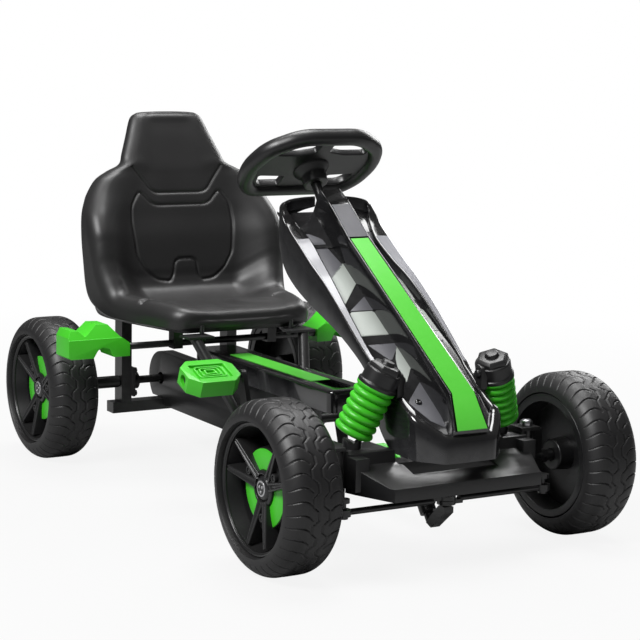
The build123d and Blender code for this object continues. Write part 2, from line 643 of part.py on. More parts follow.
def hood():
    """Nose cowl: side rails joined round the nose, sunken panels and a raised spine."""
    outer = prism_z(hood_plan(0), HOOD_LOW, HOOD_HIGH)
    walls = outer - prism_z(hood_plan(HOOD_WALL), HOOD_LOW - 5, HOOD_HIGH + 5)
    side = prism_x(RAIL + RAIL_FOOT, -95, 95)
    lip = outer - prism_z(hood_plan(15), HOOD_LOW - 5, HOOD_HIGH + 5)
    body = (walls & side) + (lip & prism_x(band(RAIL, 1.8, -HOOD_WALL), -95, 95))
    panel_line = shifted(SPINE[:-1], 20, -38)
    panel = prism_x(band(panel_line, 1.8, -HOOD_WALL + 1), -95, 95) & prism_z(hood_plan(2), HOOD_LOW, HOOD_HIGH)
    body += panel
    body += prism_x(band(SPINE, 2.2, -HOOD_WALL), -SPINE_HALF, SPINE_HALF)
    cheek = SPINE[:-1] + list(reversed(panel_line))
    for x in (-SPINE_HALF, SPINE_HALF - HOOD_WALL):
        body += prism_x(cheek, x, x + HOOD_WALL)
    nose = from_front_axle([(-80, 130), (-106, 79), (-106, 68), (-58.5, 90.5)])
    body += prism_x(nose, -SPINE_HALF, SPINE_HALF)
    body -= rod_between(column_point(-20), column_point(COLUMN_TUBE_LOW), COLUMN_TUBE_R + 2)
    shock = shock_body(BOOT_R + GAP, 16, 0)
    return body - shock - on_side(shock, RIGHT)


def hood_stripe():
    """Thin coloured strip laid on the hood's spine."""
    line = SPINE[3:]
    lifted = shifted(line, -0.45, 0.7)
    strip = prism_x(lifted + list(reversed(shifted(lifted, -0.6, 0.8))), -SPINE_HALF + 3, SPINE_HALF - 3)
    return strip - prism_x(SPINE + from_front_axle([(23, -28), (373, 272)]), -40, 40)


def bumper_plan(inset):
    corner = BUMPER_CORNER - 0.6 * inset
    half = [(corner, BUMPER_FRONT + inset), (BUMPER_HALF - 5 - inset, FRONT_Y - 39),
            (BUMPER_HALF - inset, FRONT_Y - 21 - inset), (153 - inset, FRONT_Y - 19 - inset),
            (150 - inset, FRONT_Y + 37 - inset)]
    return both_sides(half)


def bumper_profile(inset):
    """Section of the bumper: lip, slope, step and the ledge under the shocks."""
    low = -15 - 10 * (inset > 0)
    under = 40 * (inset > 0)
    return from_front_axle([(-106, low), (-106, 4.5 - inset), (-97, 4.5 - inset), (-32, 25.5 - inset),
                            (-29, 42.5 - inset), (37, 42.5 - inset), (37, 32.5 - under), (-19, 28.5 - under),
                            (-20, low)])


def front_bumper():
    outer = prism_x(bumper_profile(0), -BUMPER_HALF, BUMPER_HALF)
    outer = outer & prism_z(bumper_plan(0), AXLE_Z - 40, AXLE_Z + 70)
    tower = block(137, BUMPER_HALF, FRONT_Y - 49, FRONT_Y - 20, BUMPER_LOW + 6, BUMPER_LOW + 54)
    outer += tower + on_side(tower, RIGHT)
    hollow = prism_x(bumper_profile(BUMPER_WALL), -BUMPER_HALF, BUMPER_HALF)
    hollow = hollow & prism_z(bumper_plan(BUMPER_WALL), AXLE_Z - 80, AXLE_Z + 70)
    body = outer - hollow
    body -= block(-74, 74, FRONT_Y - 98, FRONT_Y + 43, AXLE_Z + 12, AXLE_Z + 92)
    body -= prism_z(hood_plan(-FIT), AXLE_Z + 22, AXLE_Z + 172)
    x, y, z = SHOCK_FOOT
    foot = rod_z(14, x, y, AXLE_Z + 38, z - 2) - shock_body(BOOT_R + 0.3, 16, 0)
    return body + foot + on_side(foot, RIGHT)


def shock_axis():
    top, foot = Vector(*SHOCK_TOP), Vector(*SHOCK_FOOT)
    return Plane(origin=top, z_dir=foot - top), (foot - top).length


def shock_body(radius, stub_r, start):
    """Plain outline of the boot with its foot, for cutting what it stands on."""
    plane, length = shock_axis()
    shape = Pos(0, 0, (start + length) / 2) * Cylinder(radius, length - start)
    shape += Pos(0, 0, length + 6) * Cylinder(stub_r, 12.6)
    return plane * shape


def shock_cap(side, hood_shape):
    """Cap with a hexagonal top and button, a collar, and the lug that bolts to the hood."""
    plane, _ = shock_axis()
    cap = extrude(Pos(0, 0, 5) * RegularPolygon(26, 6, major_radius=False), 9)
    cap += Pos(0, 0, 2.6) * Cylinder(11, 5.2) + Pos(0, 0, 28) * Cylinder(27, CAP_LEN - 14)
    lug_z = SHOCK_TOP[2] - 20
    lug = block(66, 84, SHOCK_TOP[1] - 6, SHOCK_TOP[1] + 8, lug_z - 42, lug_z)
    lug -= prism_x(RAIL + from_front_axle([(-106, -28), (363, -28), (363, 352)]), 0, 95)
    lug -= shock_body(BOOT_R + FIT, 16, CAP_LEN)
    body = plane * cap + lug
    return on_side(body - hood_shape, side)


def shock_boot(side):
    """Ribbed boot between the cap and the bumper's ledge."""
    plane, length = shock_axis()
    start = CAP_LEN + FIT
    pitch = (length - start) / BOOT_RINGS
    points = [(0, start), (BOOT_ROOT_R, start)]
    for i in range(BOOT_RINGS):
        z = start + i * pitch
        points += [(BOOT_ROOT_R, z + 0.12 * pitch), (BOOT_R, z + 0.3 * pitch), (BOOT_R, z + 0.75 * pitch),
                   (BOOT_ROOT_R, z + 0.93 * pitch)]
    points += [(BOOT_ROOT_R, length), (15, length), (15, length + 12), (0, length + 12)]
    boot = revolve(Plane.XZ * outline(points), Axis.Z)
    return on_side(plane * boot, side)


def frame_cover(case_shape):
    """Long cover over the crank, open underneath, with an oval cup at its front end."""
    half = COVER_W / 2
    x0, x1 = COVER_X - half, COVER_X + half
    skirt = 36.0
    outer = block(x0, x1, COVER_FRONT, COVER_REAR, COVER_TOP - skirt, COVER_TOP)
    outer = fillet(outer.edges().filter_by(Axis.Z), 14)
    outer = fillet(outer.faces().sort_by(Axis.Z)[-1].edges(), 5)
    wall = COVER_WALL
    body = outer - block(x0 + wall, x1 - wall, COVER_FRONT + wall + 3, COVER_REAR - wall - 3, 0, COVER_TOP - wall)
    oval = extrude(Pos(COVER_X, COVER_FRONT + 70, COVER_TOP - 20) * Rot(0, 0, 90) * SlotOverall(100, 36), 30)
    body -= oval
    for y in (CRANK_Y - 50, CRANK_Y + 220):
        body += block(TUBE_X - 6, TUBE_X + 10, y, y + 4, TUBE_LOW + TUBE_W, COVER_TOP - wall + 1)
    body -= case_shape
    return body - rod_x(20, -60, 60, CRANK_Y, CRANK_Z)


def frame_cover_stripe():
    return block(COVER_X - 22, COVER_X + 14, COVER_FRONT + 92, COVER_REAR - 103, COVER_TOP, COVER_TOP + 0.8)


def mudguard(side):
    """Arched guard ahead of a rear wheel: inner grip on the rod, raised bridge, outer block."""
    x0, z0 = ROD_HALF, ROD_Z - 20
    arch = [(-10, 5), (-10, 28), (9, 41), (28, 61), (50, 62), (69, 45), (74, 43), (84, 53), (98, 54), (104, 42),
            (104, 8), (100, 5), (58, 5), (50, 18), (42, 23), (28, 20), (20, 5)]
    front, rear = ROD_Y - 12, ROD_Y + 43
    body = prism_y([(x0 + x, z0 + z) for x, z in arch], front, rear)
    body -= prism_x([(front - 8, z0 + 95), (front - 8, z0 + 38), (front + 1, z0 + 38), (front + 24, z0 + 95)],
                    x0 - 20, x0 + 120)
    body -= rod_x(ROD_R + FIT / 2, x0 - 20, x0 + 0.5, ROD_Y, ROD_Z)
    return on_side(body, side)


# ---- seat ---------------------------------------------------------------
def seat():
    """Bucket seat: pan, back and headrest with a raised bolster down each side."""
    inner = [(0, 34), (10, 42), (26, 45), (80, 36), (180, 33), (222, 44), (240, 66), (243, 110), (252, 155),
             (263, 196), (272, 225), (282, 260), (296, 300), (314, 352), (320, SEAT_HEIGHT)]
    t = SEAT_BACK_T
    outer = [(320 + t, SEAT_HEIGHT), (314 + t, 352), (296 + t, 300), (282 + t, 260), (272 + t, 225),
             (286, 196), (288, 150), (294, 100), (298, 20), (274, 0), (12, 0), (0, 8)]
    front_view = [(60, SEAT_HEIGHT), (74, 354), (108, 275), (138, 262), (160, 248), (177, 228), (190, 196),
                  (SEAT_HALF, 160), (SEAT_HALF, 68), (190, 32), (166, 6), (150, 0)]
    front_view = both_sides([(x, SEAT_BASE + z) for x, z in front_view])
    plan = [(SEAT_HALF, 370), (SEAT_HALF, 242), (184, 180), (160, 90), (140, 20), (128, 0)]
    inner_plan = [(x - SEAT_WALL, y) for x, y in plan]
    inner_plan[0] = (SEAT_HALF - SEAT_WALL, 371)
    inner_plan[-1] = (128 - SEAT_WALL, -1)
    plan_solid = prism_z(both_sides([(x, SEAT_FRONT + y) for x, y in plan]), SEAT_BASE - 50, SEAT_TOP + 40)
    plan_inside = prism_z(both_sides([(x, SEAT_FRONT + y) for x, y in inner_plan]), SEAT_BASE - 60, SEAT_TOP + 50)
    bounds = prism_y(front_view, SEAT_FRONT - 50, SEAT_FRONT + 370) & plan_solid
    section = [(SEAT_FRONT + y, SEAT_BASE + z) for y, z in inner + outer]
    shell = prism_x(section, -SEAT_HALF, SEAT_HALF) & bounds
    bolster = [(0, 18), (0, 36), (90, 48), (168, 60), (200, 82), (214, 114), (228, 152), (247, 191),
               (287, 234), (300, 234), (300, 48), (280, 10)]
    walls = (plan_solid - plan_inside) & bounds
    walls = walls & prism_x([(SEAT_FRONT + y, SEAT_BASE + z) for y, z in bolster], -SEAT_HALF, SEAT_HALF)
    body = shell + walls
    body -= block(-78, 78, SEAT_FRONT + 32, SEAT_FRONT + 252, SEAT_BASE - 1, SEAT_BASE + 22)
    for x, y in SEAT_BOLTS:
        for side in (-1, 1):
            body -= rod_z(BOLT_R + FIT, side * x, y, SEAT_BASE - 1, SEAT_BASE + 18)
    return body


# ---- assembly -----------------------------------------------------------
def all_nodes():
    nodes = {}
    nodes.update(wheel_nodes("front_right", RIGHT, FRONT_TRACK_HALF, FRONT_Y, STUB_R))
    nodes.update(wheel_nodes("front_left", LEFT, FRONT_TRACK_HALF, FRONT_Y, STUB_R))
    nodes.update(wheel_nodes("rear_right", RIGHT, REAR_TRACK_HALF, REAR_Y, AXLE_R))
    nodes.update(wheel_nodes("rear_left", LEFT, REAR_TRACK_HALF, REAR_Y, AXLE_R))
    nodes["main_tube"] = main_tube()
    nodes["front_beam"] = front_beam()
    nodes["kingpins"] = kingpins()
    nodes["steering_tube"] = steering_tube()
    nodes["steering_column"] = steering_column()
    nodes["steering_wheel"] = steering_wheel()
    nodes["steering_cap"] = steering_cap()
    nodes["rear_cross_bar"] = rear_cross_bar()
    nodes["rear_bearings"] = rear_bearings()
    nodes["mudguard_rod"] = mudguard_rod()
    nodes["seat"] = seat()
    nodes["seat_bolts"] = seat_bolts()
    nodes["crankshaft"] = crankshaft()
    nodes["crank_sprocket"] = sprocket(CRANK_TEETH, CRANK_R + FIT / 2, CRANK_Y, CRANK_Z, 18)
    nodes["rear_axle"] = rear_axle()
    nodes["rear_sprocket"] = sprocket(AXLE_TEETH, AXLE_R + FIT / 2, REAR_Y, AXLE_Z, 13)
    nodes["drive_chain"] = drive_chain()
    nodes["chain_case_outer"], nodes["chain_case_inner"] = chain_case()
    nodes["hood"] = hood()
    nodes["hood_stripe"] = hood_stripe()
    nodes["front_bumper"] = front_bumper()
    nodes["frame_cover"] = frame_cover(chain_case_shape(-GAP, CASE_W / 2 + GAP))
    nodes["frame_cover_stripe"] = frame_cover_stripe()
    for name, side in (("right", RIGHT), ("left", LEFT)):
        nodes[f"knuckle_{name}"] = knuckle(side)
        nodes[f"tie_rod_{name}"] = tie_rod(side)
        nodes[f"rear_post_{name}"] = rear_post(side)
        nodes[f"seat_strut_{name}"] = seat_strut(side)
        nodes[f"pedal_{name}"] = pedal(side)
        nodes[f"shock_cap_{name}"] = shock_cap(side, nodes["hood"])
        nodes[f"shock_boot_{name}"] = shock_boot(side)
        nodes[f"mudguard_{name}"] = mudguard(side)
    return nodes


os.makedirs("parts", exist_ok=True)
for node_name, shape in all_nodes().items():
    export_step(shape, f"parts/{node_name}.step")
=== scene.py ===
"""Pedal go kart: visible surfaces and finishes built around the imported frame. Sizes are in millimetres."""
import logging
import math
from dataclasses import dataclass, field
from enum import Enum
from typing import Iterable, Optional, Sequence, Union

import bmesh
import bpy
import numpy as np
from mathutils import Euler, Matrix, Vector


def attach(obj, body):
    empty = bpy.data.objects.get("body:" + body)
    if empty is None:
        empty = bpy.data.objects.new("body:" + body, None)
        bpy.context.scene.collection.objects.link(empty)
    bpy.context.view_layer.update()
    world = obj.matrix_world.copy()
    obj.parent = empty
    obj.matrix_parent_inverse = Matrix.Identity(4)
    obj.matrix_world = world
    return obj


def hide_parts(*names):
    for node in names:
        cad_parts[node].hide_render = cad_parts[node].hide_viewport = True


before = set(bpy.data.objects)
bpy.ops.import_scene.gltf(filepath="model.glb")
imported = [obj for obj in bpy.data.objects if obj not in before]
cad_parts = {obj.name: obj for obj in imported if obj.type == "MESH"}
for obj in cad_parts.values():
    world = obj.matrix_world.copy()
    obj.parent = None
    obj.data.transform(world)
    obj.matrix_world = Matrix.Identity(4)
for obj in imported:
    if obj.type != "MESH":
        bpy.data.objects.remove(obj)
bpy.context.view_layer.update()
LOG = logging.getLogger("kart")
MM = 0.001
FRONT_Y, REAR_Y, AXLE_Z = -423.0, 423.0, 127.5
Pair = tuple[float, float]
Triple = tuple[float, float, float]
Tree = bpy.types.ShaderNodeTree
Node = bpy.types.ShaderNode
Socket = bpy.types.NodeSocket


class Side(Enum):
    """Driver's side of the kart, as the sign of X."""

    LEFT = 1.0
    RIGHT = -1.0

    @property
    def word(self) -> str:
        """Side as it stands in a node's name."""
        return self.name.lower()


class Axis(Enum):
    """Direction that an outline is drawn out along."""

    X = 0
    Y = 1
    Z = 2


# ---- lines and outlines ---------------------------------------------------
def smooth_step(low: float, high: float, value: np.ndarray) -> np.ndarray:
    """Eased ramp from 0 to 1.

    Args:
        low: Value where the ramp starts.
        high: Value where it ends.
        value: Values to ease.

    Returns:
        Eased values between 0 and 1.
    """
    share = np.clip((value - low) / (high - low), 0.0, 1.0)
    return share * share * (3.0 - 2.0 * share)


def smooth_line(points: Sequence, count: int, closed: bool = False) -> np.ndarray:
    """Smooth line through points.

    Args:
        points: Points that the line passes through.
        count: Samples wanted.
        closed: Whether the line returns to its start.

    Returns:
        Samples, one row each.
    """
    keys = np.asarray(points, float)
    if closed:
        keys = np.vstack([keys[-1], keys, keys[0], keys[1]])
    else:
        keys = np.vstack([2 * keys[0] - keys[1], keys, 2 * keys[-1] - keys[-2]])
    spans = len(keys) - 3
    place = np.linspace(0, spans, count, endpoint=not closed)
    start = np.minimum(place.astype(int), spans - 1)
    t = (place - start)[:, None]
    a, b, c, d = (keys[start + k] for k in range(4))
    return 0.5 * (2 * b + (c - a) * t + (2 * a - 5 * b + 4 * c - d) * t**2 + (3 * b - a - 3 * c + d) * t**3)


def eased(points: Sequence, radius: float, steps: int = 4, closed: bool = True) -> np.ndarray:
    """Line with its corners rounded.

    Args:
        points: Corners of the line.
        radius: Length taken from each corner's sides.
        steps: Pieces in each rounded corner.
        closed: Whether the line returns to its start.

    Returns:
        Points of the rounded line.
    """
    keys = np.asarray(points, float)
    share = np.linspace(0.0, 1.0, steps + 1)[:, None]
    rows = []
    for i, corner in enumerate(keys):
        if not closed and i in (0, len(keys) - 1):
            rows.append(corner[None, :])
            continue
        back, ahead = keys[i - 1] - corner, keys[(i + 1) % len(keys)] - corner
        cut = min(radius, 0.45 * np.linalg.norm(back), 0.45 * np.linalg.norm(ahead))
        start = corner + back / max(np.linalg.norm(back), 1e-9) * cut
        end = corner + ahead / max(np.linalg.norm(ahead), 1e-9) * cut
        rows.append((1 - share) ** 2 * start + 2 * share * (1 - share) * corner + share**2 * end)
    return np.vstack(rows)


def distance_to_line(points: np.ndarray, line: np.ndarray, closed: bool) -> np.ndarray:
    """Distance from flat points to a line of straight runs.

    Args:
        points: Points, two columns.
        line: Line's points, two columns.
        closed: Whether the line returns to its start.

    Returns:
        One distance for each point.
    """
    best = np.full(len(points), 1e9)
    ends = np.roll(line, -1, axis=0) if closed else line[1:]
    for start, end in zip(line, ends):
        run = end - start
        share = np.clip(((points - start) @ run) / max(run @ run, 1e-9), 0.0, 1.0)
        best = np.minimum(best, np.linalg.norm(points - start - share[:, None] * run, axis=1))
    return best


# ---- finishes ---------------------------------------------------------------
class EffectGroups:
    """Shader node groups that several finishes share, each made once."""

    def __init__(self) -> None:
        """Makes every group."""
        self.grain = self._grain()
        self.wear = self._wear()
        self.dust = self._dust()
        self.lines = self._lines()

    @staticmethod
    def _new(name: str, inputs: Sequence[tuple[str, float]], outputs: Sequence[str]) -> tuple[Tree, Node, Node]:
        """Empty group with its sockets.

        Args:
            name: Group's name.
            inputs: Input names and default values.
            outputs: Output names.

        Returns:
            The tree, its input node and its output node.
        """
        tree = bpy.data.node_groups.new(name, "ShaderNodeTree")
        for label, value in inputs:
            socket = tree.interface.new_socket(label, in_out="INPUT", socket_type="NodeSocketFloat")
            socket.default_value = value
        for label in outputs:
            tree.interface.new_socket(label, in_out="OUTPUT", socket_type="NodeSocketFloat")
        return tree, tree.nodes.new("NodeGroupInput"), tree.nodes.new("NodeGroupOutput")

    @staticmethod
    def _noise(tree: Tree, scale: Socket, detail: float) -> Node:
        """Noise texture in the piece's own coordinates.

        Args:
            tree: Group that the node goes in.
            scale: Socket that gives the noise its scale.
            detail: Noise detail.

        Returns:
            The noise node.
        """
        place = tree.nodes.new("ShaderNodeTexCoord")
        noise = tree.nodes.new("ShaderNodeTexNoise")
        noise.inputs["Detail"].default_value = detail
        tree.links.new(place.outputs["Object"], noise.inputs["Vector"])
        tree.links.new(scale, noise.inputs["Scale"])
        return noise

    @staticmethod
    def _math(tree: Tree, kind: str, first: Union[Socket, float], second: Union[Socket, float]) -> Socket:
        """Math node on two sockets or numbers.

        Args:
            tree: Group that the node goes in.
            kind: Operation.
            first: Socket or number.
            second: Socket or number.

        Returns:
            The result's socket.
        """
        node = tree.nodes.new("ShaderNodeMath")
        node.operation = kind
        node.use_clamp = kind in ("MULTIPLY", "SUBTRACT")
        for socket, value in zip(node.inputs, (first, second)):
            if isinstance(value, (int, float)):
                socket.default_value = value
            else:
                tree.links.new(value, socket)
        return node.outputs[0]

    def _grain(self) -> Tree:
        """Fine moulded grain and the slow colour change of a moulding.

        Returns:
            The group.
        """
        tree, start, end = self._new("moulded_grain", [("Grain Scale", 900.0), ("Mottle Scale", 14.0)],
                                     ["Grain", "Mottle"])
        fine = self._noise(tree, start.outputs["Grain Scale"], 3.0)
        slow = self._noise(tree, start.outputs["Mottle Scale"], 4.0)
        tree.links.new(fine.outputs["Fac"], end.inputs["Grain"])
        tree.links.new(slow.outputs["Fac"], end.inputs["Mottle"])
        return tree

    def _wear(self) -> Tree:
        """Rubbed edges, broken up by noise.

        Returns:
            The group.
        """
        tree, start, end = self._new("edge_wear", [("Amount", 0.3)], ["Mask"])
        shape = tree.nodes.new("ShaderNodeNewGeometry")
        ramp = tree.nodes.new("ShaderNodeMapRange")
        ramp.inputs["From Min"].default_value = 0.53
        ramp.inputs["From Max"].default_value = 0.62
        tree.links.new(shape.outputs["Pointiness"], ramp.inputs["Value"])
        value = tree.nodes.new("ShaderNodeValue")
        value.outputs[0].default_value = 60.0
        noise = self._noise(tree, value.outputs[0], 5.0)
        broken = self._math(tree, "MULTIPLY", ramp.outputs["Result"], noise.outputs["Fac"])
        mask = self._math(tree, "MULTIPLY", broken, start.outputs["Amount"])
        tree.links.new(mask, end.inputs["Mask"])
        return tree

    def _dust(self) -> Tree:
        """Dust that settles on faces that look up.

        Returns:
            The group.
        """
        tree, start, end = self._new("settled_dust", [("Amount", 0.2), ("Scale", 22.0)], ["Mask"])
        shape = tree.nodes.new("ShaderNodeNewGeometry")
        split = tree.nodes.new("ShaderNodeSeparateXYZ")
        tree.links.new(shape.outputs["Normal"], split.inputs[0])
        up = self._math(tree, "SUBTRACT", split.outputs["Z"], 0.25)
        noise = self._noise(tree, start.outputs["Scale"], 6.0)
        patch = self._math(tree, "MULTIPLY", up, noise.outputs["Fac"])
        mask = self._math(tree, "MULTIPLY", patch, start.outputs["Amount"])
        tree.links.new(mask, end.inputs["Mask"])
        return tree

    def _lines(self) -> Tree:
        """Fine parallel lines of a brushed or printed film.

        Returns:
            The group.
        """
        tree, start, end = self._new("fine_lines", [("Scale", 180.0)], ["Value"])
        place = tree.nodes.new("ShaderNodeTexCoord")
        turn = tree.nodes.new("ShaderNodeMapping")
        turn.inputs["Rotation"].default_value = (math.radians(22), 0.0, math.radians(10))
        wave = tree.nodes.new("ShaderNodeTexWave")
        wave.bands_direction = "Z"
        wave.inputs["Distortion"].default_value = 0.6
        tree.links.new(place.outputs["Object"], turn.inputs["Vector"])
        tree.links.new(turn.outputs["Vector"], wave.inputs["Vector"])
        tree.links.new(start.outputs["Scale"], wave.inputs["Scale"])
        tree.links.new(wave.outputs["Fac"], end.inputs["Value"])
        return tree


@dataclass(frozen=True)
class Finish:
    """One surface finish: its colour, its gloss and the fine detail that it shows."""

    name: str
    colour: Triple
    roughness: float
    slot: str
    second: Triple = (0.05, 0.05, 0.052)
    metallic: float = 0.0
    coat: float = 0.0
    grain_scale: float = 900.0
    grain_depth: float = 0.00008
    mottle: float = 0.12
    wear: float = 0.22
    dust: float = 0.03
    lined: float = 0.0

    def material(self, groups: EffectGroups) -> bpy.types.Material:
        """Material of this finish.

        Args:
            groups: Shared effect groups.

        Returns:
            The finished material.
        """
        material = bpy.data.materials.new(self.name)
        material.use_nodes = True
        tree = material.node_tree
        shader = tree.nodes["Principled BSDF"]
        shader.inputs["Metallic"].default_value = self.metallic
        shader.inputs["Coat Weight"].default_value = self.coat
        shader.inputs["Coat Roughness"].default_value = 0.06
        grain = self._group(tree, groups.grain)
        grain.inputs["Grain Scale"].default_value = self.grain_scale
        wear = self._group(tree, groups.wear)
        wear.inputs["Amount"].default_value = self.wear
        dust = self._group(tree, groups.dust)
        dust.inputs["Amount"].default_value = self.dust
        dark = tuple(c * (1.0 - self.mottle) for c in self.colour)
        light = tuple(min(1.0, c * (1.0 + self.mottle)) for c in self.colour)
        base = self._mix(tree, grain.outputs["Mottle"], dark, light)
        if self.lined:
            lines = self._group(tree, groups.lines)
            base = self._mix(tree, lines.outputs["Value"], base, tuple(c * self.lined for c in self.colour))
        base = self._mix(tree, wear.outputs["Mask"], base, self.second)
        base = self._mix(tree, dust.outputs["Mask"], base, (0.36, 0.34, 0.31))
        tree.links.new(base, shader.inputs["Base Color"])
        tree.links.new(self._roughness(tree, grain, dust), shader.inputs["Roughness"])
        bump = tree.nodes.new("ShaderNodeBump")
        bump.inputs["Distance"].default_value = self.grain_depth
        tree.links.new(grain.outputs["Grain"], bump.inputs["Height"])
        tree.links.new(bump.outputs["Normal"], shader.inputs["Normal"])
        return material

    @staticmethod
    def _group(tree: Tree, group: Tree) -> Node:
        """Places a group in a material.

        Args:
            tree: Material's tree.
            group: Group to place.

        Returns:
            The group's node.
        """
        node = tree.nodes.new("ShaderNodeGroup")
        node.node_tree = group
        return node

    @staticmethod
    def _mix(tree: Tree, share: Socket, first: Union[Socket, Triple], second: Union[Socket, Triple]) -> Socket:
        """Colour mix of sockets or plain colours.

        Args:
            tree: Material's tree.
            share: Socket that gives the share of the second colour.
            first: Socket or colour.
            second: Socket or colour.

        Returns:
            The mixed colour's socket.
        """
        node = tree.nodes.new("ShaderNodeMix")
        node.data_type = "RGBA"
        tree.links.new(share, node.inputs[0])
        for socket, value in ((node.inputs[6], first), (node.inputs[7], second)):
            if isinstance(value, tuple):
                socket.default_value = (*value, 1.0)
            else:
                tree.links.new(value, socket)
        return node.outputs[2]

    def _roughness(self, tree: Tree, grain: Node, dust: Node) -> Socket:
        """Roughness that follows the mottle and rises under dust.

        Args:
            tree: Material's tree.
            grain: Grain group's node.
            dust: Dust group's node.

        Returns:
            Roughness socket.
        """
        spread = tree.nodes.new("ShaderNodeMapRange")
        spread.inputs["To Min"].default_value = self.roughness * 0.86
        spread.inputs["To Max"].default_value = min(1.0, self.roughness * 1.14)
        tree.links.new(grain.outputs["Mottle"], spread.inputs["Value"])
        total = tree.nodes.new("ShaderNodeMath")
        total.operation = "ADD"
        total.use_clamp = True
        tree.links.new(spread.outputs["Result"], total.inputs[0])
        tree.links.new(dust.outputs["Mask"], total.inputs[1])
        return total.outputs[0]


class Look(Enum):
    """Every finish on the kart."""

    TYRE = Finish("foam_rubber", (0.0095, 0.0092, 0.0098), 0.46, "tyre_foam", grain_scale=1500.0,
                  grain_depth=0.00012, mottle=0.2, wear=0.10, dust=0.03)
    RIM = Finish("moulded_black_rim", (0.0085, 0.0085, 0.009), 0.34, "rim_black", grain_depth=0.00004)
    GREEN = Finish("apple_green_plastic", (0.046, 0.470, 0.014), 0.38, "accent_green",
                   second=(0.25, 0.78, 0.16), grain_depth=0.00005, mottle=0.07, wear=0.5)
    CAP = Finish("satin_black_cap", (0.012, 0.012, 0.013), 0.28, "hub_cap_grey")
    EMBLEM = Finish("satin_silver_film", (0.42, 0.42, 0.43), 0.34, "hub_cap_grey", metallic=0.6)
    PLASTIC = Finish("black_plastic", (0.0095, 0.0095, 0.010), 0.36, "black_plastic", grain_scale=1100.0)
    GLOSS = Finish("gloss_black_plastic", (0.0055, 0.0055, 0.006), 0.16, "gloss_black", coat=0.5,
                   grain_scale=300.0, grain_depth=0.00002, wear=0.6, second=(0.10, 0.10, 0.105), dust=0.04)
    DECAL = Finish("green_film", (0.075, 0.500, 0.035), 0.28, "green_decal", coat=0.3, grain_depth=0.00001,
                   mottle=0.05, wear=0.1, second=(0.3, 0.8, 0.2), dust=0.03)
    SILVER = Finish("silver_film", (0.40, 0.43, 0.40), 0.34, "gloss_black", coat=0.2, grain_depth=0.00001,
                    mottle=0.16, wear=0.0, dust=0.0, lined=0.72)
    # Slate print on the hood panels; the same colour on the spine's top is a painted reflection.
    SLATE = Finish("slate_film_and_painted_reflection", (0.105, 0.105, 0.115), 0.30, "gloss_black", coat=0.3, grain_depth=0.00001,
                   mottle=0.25, wear=0.0, dust=0.0)
    # Pale grey painted on the rails' top facets: a painted reflection of the bright surround, not a real film.
    PAINTED_RAIL_REFLECTION = Finish("pale_grey_painted_reflection", (0.25, 0.25, 0.27), 0.30, "gloss_black", coat=0.3, grain_depth=0.00001,
                  mottle=0.2, wear=0.0, dust=0.0)
    FRAME = Finish("black_powder_coat", (0.009, 0.009, 0.0095), 0.30, "frame_black", coat=0.15,
                   grain_scale=420.0, grain_depth=0.00010, second=(0.09, 0.09, 0.09))
    STEEL = Finish("zinc_steel", (0.52, 0.52, 0.54), 0.30, "zinc_steel", metallic=1.0, grain_scale=1600.0,
                   grain_depth=0.00004, second=(0.72, 0.72, 0.74), mottle=0.18)
    SEAT = Finish("blow_moulded_seat", (0.0135, 0.0132, 0.0135), 0.42, "seat_plastic", grain_scale=1300.0,
                  grain_depth=0.00010, mottle=0.1, wear=0.10, dust=0.02)


class Palette:
    """Materials of every finish, made once."""

    def __init__(self) -> None:
        """Makes the effect groups and all the materials."""
        groups = EffectGroups()
        self.materials = {look: look.value.material(groups) for look in Look}

    def dress(self, piece: bpy.types.Object, look: Look) -> None:
        """Gives a piece one material only."""
        piece.data.materials.clear()
        piece.data.materials.append(self.materials[look])


